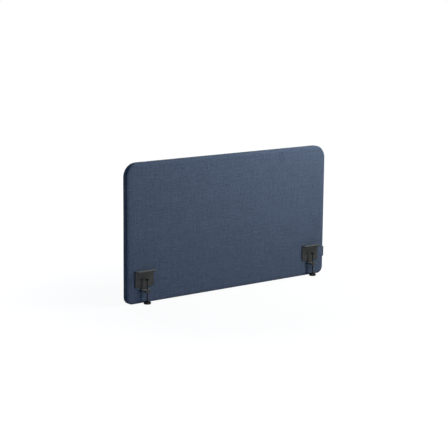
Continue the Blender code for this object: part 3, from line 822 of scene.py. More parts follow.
def cover_layer(side, marks, deep):
    """Points of one layer of a cover, deep inside its outer surface, with their flat cloth places.

    First the face's grid, then one ring of points for each step round the rolled edge.
    """
    reach, depth = EDGE_REACH - deep, EDGE_DEPTH - deep
    grid = face_grid(marks, EDGE_REACH)
    face_y = side * (HALF_DEPTH - deep)
    cloth = [tuple(place) for place in grid.reshape(-1, 2)]
    points = [(x, face_y, z) for x, z in cloth]
    profile, run, last = [], 0.0, (0.0, EDGE_DEPTH)
    for k in range(1, ROLL_STEPS + 1):
        s, c = math.sin(math.pi / 2 * k / ROLL_STEPS), math.cos(math.pi / 2 * k / ROLL_STEPS)
        here = (EDGE_REACH * s, EDGE_DEPTH * c)
        run += math.dist(here, last)
        last = here
        profile.append((EDGE_REACH - reach * s, side * (HALF_DEPTH - EDGE_DEPTH + depth * c), run))
    band = HALF_DEPTH - EDGE_DEPTH - RIM_Y - HEM_ROUND
    profile.append((deep, side * (RIM_Y + HEM_ROUND), run + band))
    for inset, y, run in profile:
        for point, out in marks:
            place = point - inset * out
            flat = point + (run - EDGE_REACH) * out
            points.append((place.x, y, place.y))
            cloth.append((flat.x, flat.y))
    return np.array(points), cloth


def bridge(first, second):
    """Faces between two rings of point numbers."""
    size = len(first)
    return [(first[n], second[n], second[(n + 1) % size], first[(n + 1) % size]) for n in range(size)]


def layer_faces(flip):
    """Faces of a cover layer: the grid, then the rings round it."""
    def grid_vertex(i, j):
        return i * (GRID_Z + 1) + j

    faces = []
    for i in range(GRID_X):
        for j in range(GRID_Z):
            ring = ((i, j), (i + 1, j), (i + 1, j + 1), (i, j + 1))
            faces.append(tuple(grid_vertex(*corner) for corner in ring))
    size = 2 * (GRID_X + GRID_Z)
    start = (GRID_X + 1) * (GRID_Z + 1)
    border = [grid_vertex(i, j) for i, j in border_index()]
    rings = [border] + [[start + k * size + n for n in range(size)] for k in range(ROLL_STEPS + 1)]
    for inner, outer in zip(rings, rings[1:]):
        faces += bridge(inner, outer)
    return [face[::-1] for face in faces] if flip else faces


def under_a_plate(x, z):
    """How firmly a bracket's plate holds the cloth: 1 under it, falling to 0 at PLATE_MARGIN outside."""
    out_x = abs(abs(x) - CLAMP_X) - BRACKET_HALF
    out_z = max(PLATE_LOW_Z - z, z - PLATE_HIGH_Z)
    return min(1.0, max(0.0, 1.0 - max(out_x, out_z) / PLATE_MARGIN))


def puffed(side, points, faces):
    """Cloth simulation of one cover: held at its rim and under the plates, pressed out by its wadding.

    Returns each point's movement, with its length softly held to at most PUFF + CROWN.
    """
    mesh = bpy.data.meshes.new("puff")
    mesh.from_pydata([tuple(point) for point in points], [], faces)
    cloth = linked("puff", mesh)
    face_count = (GRID_X + 1) * (GRID_Z + 1)
    held = cloth.vertex_groups.new(name="held")
    for index, (x, _, z) in enumerate(points):
        weight = 1.0 if index >= face_count else 0.0
        if side < 0:
            weight = max(weight, under_a_plate(x, z))
        if weight > 0:
            held.add([index], weight, "REPLACE")
    modifier = cloth.modifiers.new("Cloth", "CLOTH")
    for key, value in CLOTH_SETTINGS.items():
        setattr(modifier.settings, key, value)
    modifier.settings.effector_weights.gravity = 0.0
    modifier.collision_settings.use_collision = False
    modifier.collision_settings.use_self_collision = False
    modifier.point_cache.frame_start = 1
    modifier.point_cache.frame_end = CLOTH_FRAMES
    for number in range(1, CLOTH_FRAMES + 1):
        bpy.context.scene.frame_set(number)
    shaped = cloth.evaluated_get(bpy.context.evaluated_depsgraph_get()).to_mesh()
    moved = np.zeros(len(points) * 3)
    shaped.vertices.foreach_get("co", moved)
    moved = moved.reshape(-1, 3) - points
    bpy.data.objects.remove(cloth)
    bpy.context.scene.frame_set(1)
    far = np.linalg.norm(moved, axis=1, keepdims=True) + 1e-9
    return moved / far * (PUFF * np.tanh(far / PUFF) + CROWN * np.tanh(far / CROWN_REACH))


def make_cover(name, side, node):
    """A fabric cover: a thin closed shell, from the outer layer round the hem to the inner layer."""
    marks = perimeter_marks()
    outer, cloth = cover_layer(side, marks, 0.0)
    inner, _ = cover_layer(side, marks, FABRIC)
    faces = layer_faces(side > 0)
    moved = puffed(side, outer, faces)
    outer = outer + moved
    inner = inner + moved
    ring = 2 * (GRID_X + GRID_Z)
    hem = []
    for k in range(1, HEM_STEPS + 1):
        angle = math.pi / 2 * k / HEM_STEPS
        inset = HEM_ROUND * (1 - math.cos(angle))
        y = side * (RIM_Y + HEM_ROUND * (1 - math.sin(angle)))
        for point, out in marks:
            place = point - inset * out
            hem.append((place.x, y, place.y))
    count = len(outer)
    points = [*map(tuple, outer), *map(tuple, inner), *hem]
    outer_rim = [count - ring + n for n in range(ring)]
    inner_rim = [2 * count - ring + n for n in range(ring)]
    hem_rings = [[2 * count + k * ring + n for n in range(ring)] for k in range(HEM_STEPS)]
    rims = [outer_rim, *hem_rings, inner_rim]
    faces = faces + [tuple(count + i for i in face[::-1]) for face in faces]
    for first, second in zip(rims, rims[1:]):
        faces += bridge(first, second)
    shift = REAR_SHIFT if side > 0 else 0.0
    flat = [(u + shift, v) for u, v in cloth + cloth + cloth[-ring:] * HEM_STEPS]
    piece = new_piece(name, (points, faces), "fabric", node, sharp=60.0, cloth=flat)
    return piece


# ==== Strips along the edge ====
def edge_strip(name, runs, section, finish, node):
    """A strip along the edge. section is a closed outline of (inset, y), and the ends are capped."""
    total = length_of(runs)
    count = int(total / STRIP_STEP)
    rings, flat = [], []
    for k in range(count + 1):
        distance = total * k / count
        point, out = walk(runs, distance)
        ring = []
        run = 0.0
        for index, (inset, y) in enumerate(section):
            place = point - inset * out
            ring.append((place.x, y, place.y))
            if index:
                run += math.dist(section[index - 1], (inset, y))
            flat.append((distance, run))
        rings.append(ring)
    return new_piece(name, tube_between(rings), finish, node, sharp=50.0, cloth=flat)


def make_bottom_strip():
    """The strip of cover fabric under the panel, tucked in a little at its two seams."""
    half = RIM_Y - STRIP_CLEARANCE
    outer = []
    for k in range(STRIP_POINTS + 1):
        t = -1 + 2 * k / STRIP_POINTS
        tuck = SEAM_TUCK * max(0.0, abs(t) - SEAM_START) / (1 - SEAM_START)
        outer.append((tuck, half * t))
    section = outer + [(FABRIC, half), (FABRIC, -half)]
    runs = bottom_runs()
    piece = edge_strip("closing_strip", runs, section, "fabric", "bottom_strip")
    length_of(runs)


def make_zip_tapes():
    """The two woven tapes beside the zip's teeth."""
    for label, side in (("front", -1), ("rear", 1)):
        edge, body = TAPE_INNER_Y, TAPE_OUTER_Y
        section = [
            (TAPE_SINK + 0.0002, side * edge),
            (TAPE_SINK, side * (edge + 0.0003)),
            (TAPE_SINK + 0.0001, side * (edge + body) / 2),
            (TAPE_SINK, side * body),
            (FABRIC, side * body),
            (FABRIC, side * edge),
        ]
        edge_strip(f"{label}_zip_tape", zip_runs(), section, "tape", f"zip_tape_{label}")


def capsule(centre, along, across, out, half, radius, sides=6):
    """A small rod with rounded ends: points and faces."""
    rings = []
    for share, size in ((-1.0, 0.45), (-0.72, 1.0), (0.72, 1.0), (1.0, 0.45)):
        ring = []
        for k in range(sides):
            angle = 2 * math.pi * k / sides
            offset = radius * size * (math.cos(angle) * across + math.sin(angle) * out)
            ring.append(tuple(centre + along * (half * share) + offset))
        rings.append(ring)
    return tube_between(rings)


def spatial(point, out, distance_out, y):
    """A place in space above the outline, and the outward direction there."""
    place = point + distance_out * out
    return Vector((place.x, y, place.y)), Vector((out.x, 0.0, out.y))


def make_stitching():
    """A row of topstitches on each cover, beside the zip and the closing strip."""
    runs = zip_runs() + [
        (length, lambda t, place=place: place(1 - t)) for length, place in reversed(bottom_runs())
    ]
    total = length_of(runs)
    count = int(total / STITCH_PITCH)
    for label, side in (("front", -1), ("rear", 1)):
        shapes = []
        for k in range(count):
            point, out = walk(runs, total * (k + 0.5) / count)
            centre, outward = spatial(point, out, 0.00002, side * STITCH_Y)
            along = outward.cross(Y_AXIS)
            shapes.append(capsule(centre, along, Y_AXIS, outward, STITCH_LENGTH / 2, STITCH_RADIUS, 5))
        new_piece(f"{label}_seam_stitches", joined(shapes), "thread")


def tooth(place, outward, along, side):
    """One tooth of the coil: a rod from its root in the tape to a fat head past the middle line."""
    top, lean = CHAIN_PROUD - TOOTH_RADIUS, TOOTH_PITCH * 0.12
    past = -CHAIN_HALF * 0.24
    stations = (
        (top - 0.0005, CHAIN_HALF - TOOTH_RADIUS, 0.0, 0.8, 0.8),
        (top, CHAIN_HALF * 0.45, 0.0, 0.85, 1.0),
        (top - 0.0001, past, lean, 1.05, 1.0),
        (top - 0.0001, past - 0.0004, lean * 1.2, 0.5, 0.5),
    )
    rings = []
    for height, reach, shift, wide, high in stations:
        offset = outward * height + Y_AXIS * (side * reach) + along * shift
        ring = []
        for n in range(6):
            angle = 2 * math.pi * n / 6
            swing = wide * math.cos(angle) * along + high * math.sin(angle) * outward
            ring.append(tuple(place + offset + TOOTH_RADIUS * swing))
        rings.append(ring)
    return tube_between(rings)


def make_chain():
    """The zip's teeth: two nylon coils that mesh down the middle."""
    runs = zip_runs()
    first, last = STOP_LENGTH + STOP_GAP, length_of(runs) - STOP_LENGTH - STOP_GAP
    count = int((last - first) / TOOTH_PITCH)
    shapes = []
    for k in range(count):
        for side in (-1, 1):
            distance = first + (k + 0.5 + 0.25 * side) * TOOTH_PITCH
            point, out = walk(runs, distance)
            place, outward = spatial(point, out, 0.0, 0.0)
            shapes.append(tooth(place, outward, outward.cross(Y_AXIS), side))
    new_piece("zip_teeth", joined(shapes), "chain", "zip_chain")


# ==== Zip hardware and the side tab ====
def prism(outline, low, high, place):
    """A closed solid between two copies of an outline; place(u, v, w) turns each point into space."""
    rings = [[place(u, v, w) for u, v in outline] for w in (low, high)]
    return tube_between(rings)


def slider_axis():
    """(X, Z) of the puller's hinge."""
    low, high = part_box("zip_puller")
    return ((low.x + high.x) / 2, high.z - EYE_RADIUS)


def slider_shield(low_z, length):
    """The slider's outline seen from outside: a broad round nose above a narrower tail."""
    nose, tail = SLIDER_HALF_WIDTH, SLIDER_HALF_WIDTH * SLIDER_TAIL_SHARE
    shield = []
    for k in range(17):
        angle = math.pi * k / 16
        rise = SLIDER_NOSE_RISE * nose * math.sin(angle)
        shield.append((nose * math.cos(angle), low_z + length + rise))
    flank = []
    for k in range(1, 8):
        t = k / 8
        flank.append((nose - (nose - tail) * ease(t), low_z + length * (1 - t)))
    shield += [(-u, v) for u, v in flank]
    shield += [(-tail, low_z + SLIDER_CORNER), (-tail + SLIDER_CORNER, low_z)]
    shield += [(tail - SLIDER_CORNER, low_z), (tail, low_z + SLIDER_CORNER)]
    return shield + flank[::-1]


def make_slider():
    """A shield with a raised middle, two feet, and the bar that the puller hangs on."""
    low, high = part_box("zip_slider")
    axis_x, axis_z = slider_axis()
    top_x = low.x + SLIDER_THICKNESS
    length = high.z - low.z - SLIDER_NOSE_RISE * SLIDER_HALF_WIDTH
    shield = slider_shield(low.z, length)
    middle_z = low.z + length * 0.45
    crown = [(u * CROWN_SHARE, middle_z + (v - middle_z) * CROWN_SHARE) for u, v in shield]

    def flat(u, v, w):
        return (w, u, v)

    plate = prism(shield, low.x, top_x - CROWN_RISE, flat)
    slider = new_piece("slider_body", plate, "zip_metal", "zip_slider", "slider")
    tools = [prism(crown, top_x - 2 * CROWN_RISE, top_x, flat)]
    foot_inner = EYE_HALF_WIDTH + FOOT_GAP
    foot = arc_profile((axis_x, axis_z), FOOT_HALF, -90, 90, 8)
    foot += [(top_x - FOOT_SINK, axis_z + FOOT_BASE_HALF), (top_x - FOOT_SINK, axis_z - FOOT_BASE_HALF)]
    for sign in (-1, 1):
        ends = sorted((sign * foot_inner, sign * (foot_inner + FOOT_WIDTH)))
        tools.append(prism(foot, *ends, lambda u, v, w: (u, w, v)))
    reach = foot_inner + FOOT_WIDTH / 2
    bar = [(PIVOT_RADIUS, -reach), (PIVOT_RADIUS, reach)]
    tools.append(turned(bar, 20, (axis_x, 0.0, axis_z), "Y"))
    combine(slider, tools, "UNION")
    add_bevel(slider, SLIDER_BEVEL)


def puller_outline(length):
    """The tag's outline below its hinge: a neck that widens into a long tongue with a round tip."""
    neck, wide = EYE_HALF_WIDTH, PULLER_HALF_WIDTH
    shoulder = PULLER_SHOULDER_LOW - PULLER_SHOULDER_HIGH
    half = [(neck, -PULLER_NECK_TOP), (neck, -PULLER_SHOULDER_HIGH)]
    for k in range(1, 7):
        half.append((neck + (wide - neck) * ease(k / 6), -PULLER_SHOULDER_HIGH - shoulder * k / 6))
    tip = [(u, 2 * (wide - length) - v) for u, v in arc_profile((0.0, wide - length), wide, 0, 180, 16)]
    return half + tip + [(-u, v) for u, v in reversed(half)]


def make_puller():
    """A tag with a rolled eye, a long slot and finger ridges near its tip."""
    low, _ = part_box("zip_puller")
    axis_x, axis_z = slider_axis()
    half = PULLER_THICKNESS / 2
    length = axis_z - low.z

    def flat(u, v, w):
        return (axis_x + w, u, axis_z + v)

    tag = prism(puller_outline(length), -half, half, flat)
    puller = new_piece("puller_tag", tag, "zip_metal", "zip_puller", "puller")
    centre = (axis_x, 0.0, axis_z)
    eye = [(EYE_RADIUS, -EYE_HALF_WIDTH), (EYE_RADIUS, EYE_HALF_WIDTH)]
    combine(puller, [turned(eye, 32, centre, "Y")], "UNION")
    slot = arc_profile((0.0, PULLER_SLOT_LOW - length), PULLER_SLOT_HALF, 180, 360, 8)
    slot += arc_profile((0.0, PULLER_SLOT_HIGH - length), PULLER_SLOT_HALF, 0, 180, 8)
    tools = [
        turned([(EYE_BORE, -2 * EYE_HALF_WIDTH), (EYE_BORE, 2 * EYE_HALF_WIDTH)], 24, centre, "Y"),
        prism(slot, -2 * half, 2 * half, flat),
    ]
    for row in range(GRIP_ROWS):
        z = low.z + GRIP_START + GRIP_PITCH * row
        for sign in (-1, 1):
            mouth, root = sign * (half + 0.0002), sign * (half - 0.00025)
            groove = [(mouth, z - GRIP_HALF), (mouth, z + GRIP_HALF), (root, z)]
            tools.append(prism(groove, -GRIP_REACH, GRIP_REACH, lambda u, v, w: (axis_x + u, w, v)))
    combine(puller, tools, "DIFFERENCE")
    add_bevel(puller, PULLER_BEVEL)


def make_stops():
    """The crimped clips at the two ends of the zip's teeth."""
    for node in ("zip_start_stop", "zip_end_stop"):
        low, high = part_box(node)
        side = -1 if low.x < 0 else 1
        inner, outer = sorted((low.x, high.x), key=abs)
        outline = rounded_rectangle((high.y - low.y) / 2, (high.z - low.z) / 2, STOP_CORNER, 6)
        middle_y, middle_z = (low.y + high.y) / 2, (low.z + high.z) / 2
        rings = [[(inner, middle_y + u, middle_z + v) for u, v in outline]]
        for depth, share in STOP_TIP:
            x = outer - side * depth
            rings.append([(x, middle_y + u * share, middle_z + v * share) for u, v in outline])
        clip = new_piece(f"{node}_clip", tube_between(rings), "zip_metal", node)
        mouth, root = outer + side * STOP_GROOVE, outer - side * STOP_GROOVE
        groove = [(mouth, -0.0005), (mouth, 0.0005), (root, 0.0)]
        tool = prism(groove, low.z - 0.001, high.z + 0.001, lambda u, v, w: (u, middle_y + v, w))
        combine(clip, [tool], "DIFFERENCE")


def tab_section(low, high, half, middle_y):
    """The folded ribbon's section: out along one side, round the fold, back, and inside again."""
    bend_x = high.x - half
    steps = 14
    outer, inner = [], []
    for sign in (-1, 1):
        way = range(steps + 1) if sign < 0 else range(steps, -1, -1)
        for k in way:
            x = low.x + (bend_x - low.x) * k / steps
            bow = 0.00012 * math.sin(math.pi * k / steps)
            outer.append((x, middle_y + sign * (half - bow)))
            inner.append((x, middle_y + sign * (half - RIBBON - bow)))
        if sign < 0:
            outer += arc_profile((bend_x, middle_y), half, -90, 90, 9)[1:-1]
            inner += arc_profile((bend_x, middle_y), half - RIBBON, -90, 90, 9)[1:-1]
    return outer + inner[::-1]


def make_side_tab():
    """A ribbon folded double round its outer end, with its two tails sewn in beside the zip."""
    low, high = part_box("side_tab")
    middle_y, half = (low.y + high.y) / 2, (high.y - low.y) / 2
    section = tab_section(low, high, half, middle_y)
    rows = 28
    rings, flat = [], []
    for j in range(rows + 1):
        t = j / rows
        z = low.z + (high.z - low.z) * t
        ring, run = [], 0.0
        for index, (x, y) in enumerate(section):
            loose = max(0.0, (x - HALF_WIDTH) / (high.x - HALF_WIDTH))
            sway = 0.0005 * loose * math.sin(2.6 * math.pi * t + 0.6)
            tuck = 0.0006 * loose * (math.cos(2 * math.pi * t) - 1)
            ring.append((x + tuck, y + sway, z))
            if index:
                run += math.dist(section[index - 1], (x, y))
            flat.append((z, run))
        rings.append(ring)
    tab = new_piece("ribbon_tab", tube_between(rings), "tab", "side_tab", sharp=60.0, cloth=flat)
    shapes = []
    first, last = low.z + STITCH_LENGTH, high.z - STITCH_LENGTH
    for k in range(TAB_STITCHES):
        z = first + (last - first) * k / (TAB_STITCHES - 1)
        for sign in (-1, 1):
            centre = Vector((HALF_WIDTH + STITCH_LENGTH, middle_y + sign * (half + 0.00003), z))
            shapes.append(capsule(centre, Z_AXIS, X_AXIS, Y_AXIS, 0.0011, 0.00020))
    new_piece("ribbon_tab_stitches", joined(shapes), "thread")


# ==== Clamps ====
def bracket_path():
    """The folded sheet's middle line in Y and Z, as the CAD has it: (kind, data, length) stretches."""
    jaw_z, arm_z = PLATE_HIGH_Z - SHEET / 2, ARM_TOP_Z - SHEET / 2
    plate_y = PLATE_Y + SHEET / 2
    bent = math.pi / 2 * BEND_RADIUS
    return [
        ("straight", (JAW_LIP_Y, jaw_z, 1.0, 0.0), plate_y - BEND_RADIUS - JAW_LIP_Y),
        ("bend", (plate_y - BEND_RADIUS, jaw_z - BEND_RADIUS, 90.0), bent),
        ("straight", (plate_y, jaw_z - BEND_RADIUS, 0.0, -1.0), jaw_z - arm_z - 2 * BEND_RADIUS),
        ("bend", (plate_y - BEND_RADIUS, arm_z + BEND_RADIUS, 0.0), bent),
        ("straight", (plate_y - BEND_RADIUS, arm_z, -1.0, 0.0), plate_y - BEND_RADIUS - ARM_LIP_Y),
    ]


def path_place(distance):
    """(y, z) on the middle line, and the direction to the sheet's outer side."""
    stretches = bracket_path()
    for index, (kind, data, length) in enumerate(stretches):
        if distance > length and index < len(stretches) - 1:
            distance -= length
            continue
        if kind == "straight":
            y, z, dy, dz = data
            return y + dy * distance, z + dz * distance, -dz, dy
        y, z, start = data
        angle = math.radians(start) - distance / BEND_RADIUS
        c, s = math.cos(angle), math.sin(angle)
        return y + BEND_RADIUS * c, z + BEND_RADIUS * s, c, s


def bracket_stations():
    """(distance along the blank, half width) from the jaw's lip to the arm's lip."""
    lengths = [length for _, _, length in bracket_path()]
    total = sum(lengths)
    plate_end = lengths[0] + lengths[1] + (PLATE_HIGH_Z - SHEET / 2 - BEND_RADIUS) - PLATE_LOW_Z
    bend_start = total - lengths[4] - lengths[3]
    stations = []
    arcs = (
        (JAW_CORNER, BRACKET_HALF - JAW_CORNER, JAW_CORNER, 180, 90),
        None,
        (plate_end - PLATE_CORNER, BRACKET_HALF - PLATE_CORNER, PLATE_CORNER, 90, 0),
        (plate_end + FILLET + 0.0003, ARM_HALF + FILLET, FILLET, 180, 270),
        None,
        (total - ARM_CORNER, ARM_HALF - ARM_CORNER, ARM_CORNER, 90, 0),
    )
    bends = iter(((lengths[0], lengths[1], BRACKET_HALF), (bend_start, lengths[3], ARM_HALF)))
    for arc in arcs:
        if arc is None:
            start, length, half = next(bends)
            stations += [(start + length * k / 12, half) for k in range(13)]
            continue
        for distance, half in arc_profile(arc[:2], arc[2], arc[3], arc[4], 9):
            stations.append((distance, half))
    return stations


def make_bracket(label, side):
    """Plate, top jaw and lower arm folded from one sheet, with two pegs behind the plate."""
    centre_x = side * CLAMP_X
    rings = []
    for distance, width in bracket_stations():
        y, z, ny, nz = path_place(distance)
        outer = (y + SHEET / 2 * ny, z + SHEET / 2 * nz)
        inner = (y - SHEET / 2 * ny, z - SHEET / 2 * nz)
        pairs = ((-1, outer), (1, outer), (1, inner), (-1, inner))
        rings.append([(centre_x + sign * width, *place) for sign, place in pairs])
    bracket = new_piece(f"{label}_bracket_plate", tube_between(rings), "powder", f"{label}_bracket")
    hole = [(SCREW_HOLE_RADIUS, z) for z in (ARM_TOP_Z - SHEET - TOOL_REACH, ARM_TOP_Z + TOOL_REACH)]
    tools = [turned(hole, 40, (centre_x, SCREW_Y, 0.0))]
    for z in FIXING_HEIGHTS:
        sink = [
            (HEAD_RADIUS + CLEARANCE, PLATE_Y - TOOL_REACH),
            (HEAD_RADIUS + CLEARANCE, PLATE_Y + HEAD_SINK + 0.0006),
            (SHANK_RADIUS + CLEARANCE, PLATE_Y + HEAD_SINK + HEAD_HEIGHT + 0.0005),
            (SHANK_RADIUS + CLEARANCE, PLATE_BACK_Y + TOOL_REACH),
        ]
        tools.append(turned(sink, 40, (side * (CLAMP_X - FIXING_OFFSET), 0.0, z), "Y"))
    combine(bracket, tools, "DIFFERENCE")
    add_bevel(bracket, BRACKET_BEVEL)
    edge = PEG_EDGE
    peg = [(PEG_RADIUS, PLATE_BACK_Y + 0.0001)]
    peg += arc_profile((PEG_RADIUS - edge, PEG_TIP_Y - edge), edge, 0, 90, 5)
    places = [(side * (CLAMP_X + FIXING_OFFSET), 0.0, z) for z in FIXING_HEIGHTS]
    pegs = joined([turned(peg, 28, place, "Y") for place in places])
    new_piece(f"{label}_bracket_pegs", pegs, "powder")


def make_jaw_pad(label):
    """A strip of rubber under the jaw, with ribs along it that grip the desk's top."""
    low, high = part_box(f"{label}_jaw_pad")
    ribs, per_rib, edge, corner = 9, 8, 0.0005, 0.0001
    count = ribs * per_rib
    section = []
    for k in range(count + 1):
        y = low.y + edge + (high.y - low.y - 2 * edge) * k / count
        valley = (0.5 + 0.5 * math.cos(2 * math.pi * k / per_rib)) ** 2
        section.append((y, low.z + RIB_DEPTH * valley))
    section += [(high.y, low.z + edge), (high.y, high.z - corner), (high.y - corner, high.z)]
    section += [(low.y + corner, high.z), (low.y, high.z - corner), (low.y, low.z + edge)]
    middle = (high.z + low.z) / 2
    ends = ((low.x, 0.55), (low.x + 0.00015, 0.85), (low.x + edge, 1.0))
    stations = [*ends, *[(low.x + high.x - x, share) for x, share in reversed(ends)]]
    rings = [[(x, y, middle + (z - middle) * share) for y, z in section] for x, share in stations]
    new_piece(f"{label}_jaw_grip", tube_between(rings), "rubber", f"{label}_jaw_pad")


def make_threaded_block(label, side):
    """The nut block under the arm."""
    low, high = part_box(f"{label}_threaded_block")
    centre = (low + high) / 2
    outline = rounded_rectangle((high.x - low.x) / 2, (high.y - low.y) / 2, BLOCK_CORNER, 6)
    solid = prism(outline, low.z, high.z, lambda u, v, w: (centre.x + u, centre.y + v, w))
    block = new_piece(f"{label}_nut_block", solid, "powder", f"{label}_threaded_block")
    bore = THREAD_RADIUS + 0.0002
    profile = [(bore + 0.0012, low.z - 0.0010), (bore + 0.0006, low.z + 0.0002)]
    profile += [(bore, low.z + 0.0008), (bore, high.z + 0.0010)]
    combine(block, [turned(profile, 40, (side * CLAMP_X, SCREW_Y, 0.0))], "DIFFERENCE")
    add_bevel(block, BLOCK_BEVEL)
    make_weld_bead(label, outline, centre, high.z)


def bead_places(outline):
    """(point, outward direction) at even steps round a block's outline."""
    corners = [Vector(point) for point in outline]
    for index, here in enumerate(corners):
        there = corners[(index + 1) % len(corners)]
        along = (there - here).normalized()
        steps = max(1, round((there - here).length / BEAD_STEP))
        for k in range(steps):
            yield here.lerp(there, k / steps), Vector((along.y, -along.x))


def make_weld_bead(label, outline, centre, top_z):
    """The rippled weld bead in the corner between a nut block and the arm above it."""
    rings = []
    for count, (spot, out) in enumerate(bead_places(outline)):
        size = BEAD_RADIUS * (1.0 + 0.16 * math.sin(2 * math.pi * count / 3.6))
        section = [(size * u, size * v) for u, v in arc_profile((0.0, 0.0), 1.0, 8, -98, 6)]
        section = [(reach, drop + 0.0002) for reach, drop in section]
        section += [(-0.0003, -0.0004), (-0.0003, 0.0002)]
        ring = []
        for reach, rise in section:
            place = spot + reach * out
            ring.append((centre.x + place.x, centre.y + place.y, top_z + rise))
        rings.append(ring)
    points = [point for ring in rings for point in ring]
    faces = ring_faces(len(rings), len(rings[0]), closed=True)
    new_piece(f"{label}_weld_bead", (points, faces), "powder", sharp=75.0)


def thread_radius(turn, fade):
    """The rolled thread's radius at a share of one turn; fade runs it out to the root."""
    crest = max(0.0, min(1.0, 1.25 - 2.5 * abs(turn - 0.5)))
    return THREAD_RADIUS - THREAD_DEPTH + THREAD_DEPTH * crest * max(0.0, fade)


def make_clamp_screw(label, side):
    """The clamp screw: a rolled thread all along, and plain rounded ends."""
    low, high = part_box(f"{label}_clamp_screw")
    sides, per_turn = 18, 6
    first, last = low.z + 0.0010, high.z - 0.0016
    root = THREAD_RADIUS - THREAD_DEPTH
    rings = [(low.z, [THREAD_RADIUS - 0.0008] * sides), (low.z + 0.0006, [root] * sides)]
    count = int((last - first) / THREAD_PITCH * per_turn)
    for k in range(count + 1):
        z = first + (last - first) * k / count
        fade = min(1.0, (z - first) / THREAD_RUN_OUT, (last - z) / THREAD_RUN_OUT)
        turns = [(z / THREAD_PITCH - n / sides) % 1.0 for n in range(sides)]
        rings.append((z, [thread_radius(turn, fade) for turn in turns]))
    for rise, share in SCREW_TIP:
        rings.append((last + (high.z - last) * rise, [root * share] * sides))
    solid = []
    for z, radii in rings:
        ring = []
        for n, r in enumerate(radii):
            angle = 2 * math.pi * n / sides
            ring.append((side * CLAMP_X + r * math.cos(angle), SCREW_Y + r * math.sin(angle), z))
        solid.append(ring)
    new_piece(f"{label}_threaded_rod", tube_between(solid), "black_steel", f"{label}_clamp_screw",
              f"{label}_screw", sharp=80.0)


def flutes(angle, radius):
    """The knob's radius with twelve finger flutes that fade out towards its middle."""
    bite = 0.5 + 0.5 * math.cos(KNOB_LOBES * angle)
    return radius - FLUTE_DEPTH * bite ** 2.2 * max(0.0, min(1.0, (radius - 0.010) / 0.004))


def make_knob(label, side):
    """A fluted hand knob with soft edges, a dished top and a collar round the screw."""
    low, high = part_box(f"{label}_knob")
    rim = (high.x - low.x) / 2
    top, edge = low.z + KNOB_RIM_HEIGHT, KNOB_EDGE
    profile = raised(KNOB_FOOT, low.z)
    profile += arc_profile((rim - edge, low.z + edge), edge, -90, 0, 5)
    profile += arc_profile((rim - edge, top - edge), edge, 0, 90, 5)
    profile += raised(KNOB_DISH, top) + raised(KNOB_COLLAR, high.z)
    bore = THREAD_RADIUS + CLEARANCE
    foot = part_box(f"{label}_clamp_screw")[0].z - CLEARANCE
    profile += [(bore + 0.0005, high.z), (bore, high.z - 0.0005), (bore, foot)]
    solid = turned(profile, KNOB_LOBES * 8, (side * CLAMP_X, SCREW_Y, 0.0), shape=flutes)
    new_piece(f"{label}_hand_knob", solid, "knob", f"{label}_knob", f"{label}_screw", sharp=48.0)


def make_pressure_pad(label, side):
    """The swivel pad: a dished plate on a rolled collar, with its rubber face."""
    low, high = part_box(f"{label}_pressure_pad")
    centre = (side * CLAMP_X, SCREW_Y, 0.0)
    radius, edge = (high.x - low.x) / 2, PAD_EDGE
    socket = THREAD_RADIUS + CLEARANCE
    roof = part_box(f"{label}_clamp_screw")[1].z + CLEARANCE
    profile = arc_profile((radius - edge, high.z - edge), edge, 90, 0, 5)
    profile += arc_profile((radius - edge, high.z - 0.0030), edge, 0, -70, 5)
    profile += raised(PAD_NECK, high.z) + raised(PAD_WAIST, low.z)
    profile += arc_profile((PAD_COLLAR_RADIUS - edge, low.z + edge), edge, 0, -90, 4)
    profile += [(socket + 0.0003, low.z), (socket, low.z + 0.0003), (socket, roof)]
    new_piece(f"{label}_swivel_pad", turned(profile, 56, centre), "black_steel", f"{label}_pressure_pad",
              f"{label}_pad")


def make_pad_face(label, side):
    """The rubber face of a swivel pad, with ring-shaped grooves."""
    low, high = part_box(f"{label}_pad_face")
    radius, edge, steps, per_ring = (high.x - low.x) / 2, 0.0004, 21, 4
    profile = [(radius - 0.0001, low.z), (radius, low.z + 0.0001)]
    profile += arc_profile((radius - edge, high.z - edge), edge, 0, 90, 4)
    for k in range(1, steps):
        dip = 0.5 - 0.5 * math.cos(2 * math.pi * k / per_ring)
        profile.append(((radius - edge) * (1 - k / steps), high.z - RING_DEPTH * dip))
    solid = turned(profile, 56, (side * CLAMP_X, SCREW_Y, 0.0))
    new_piece(f"{label}_pad_rubber", solid, "rubber", f"{label}_pad_face", f"{label}_pad")


def make_fixing_screws(label, side):
    """Countersunk screws with a six-sided socket and a thread behind the plate."""
    for level, z in zip(("lower", "upper"), FIXING_HEIGHTS):
        node = f"{label}_fixing_screw_{level}"
        low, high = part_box(node)
        centre = (side * (CLAMP_X - FIXING_OFFSET), 0.0, z)
        flush, root = low.y, SHANK_RADIUS - THREAD_DEPTH
        neck = flush + HEAD_HEIGHT
        profile = raised(HEAD_PROFILE, flush) + [(SHANK_RADIUS, neck)]
        turns = int((high.y - 0.0012 - neck) / THREAD_PITCH)
        for k in range(turns):
            y = neck + THREAD_PITCH * (k + 0.25)
            profile += [(root, y), (SHANK_RADIUS, y + THREAD_PITCH / 2)]
        profile += [(root, high.y - 0.0010), (root - 0.0006, high.y)]
        solid = turned(profile, 40, centre, "Y")
        screw = new_piece(f"{node}_head", solid, "black_steel", node, sharp=28.0)
        combine(screw, [turned(raised(SOCKET_PROFILE, flush), 6, centre, "Y")], "DIFFERENCE")


def make_clamp(label, side):
    make_bracket(label, side)
    make_jaw_pad(label)
    make_threaded_block(label, side)
    make_clamp_screw(label, side)
    make_knob(label, side)
    make_pressure_pad(label, side)
    make_pad_face(label, side)
    make_fixing_screws(label, side)


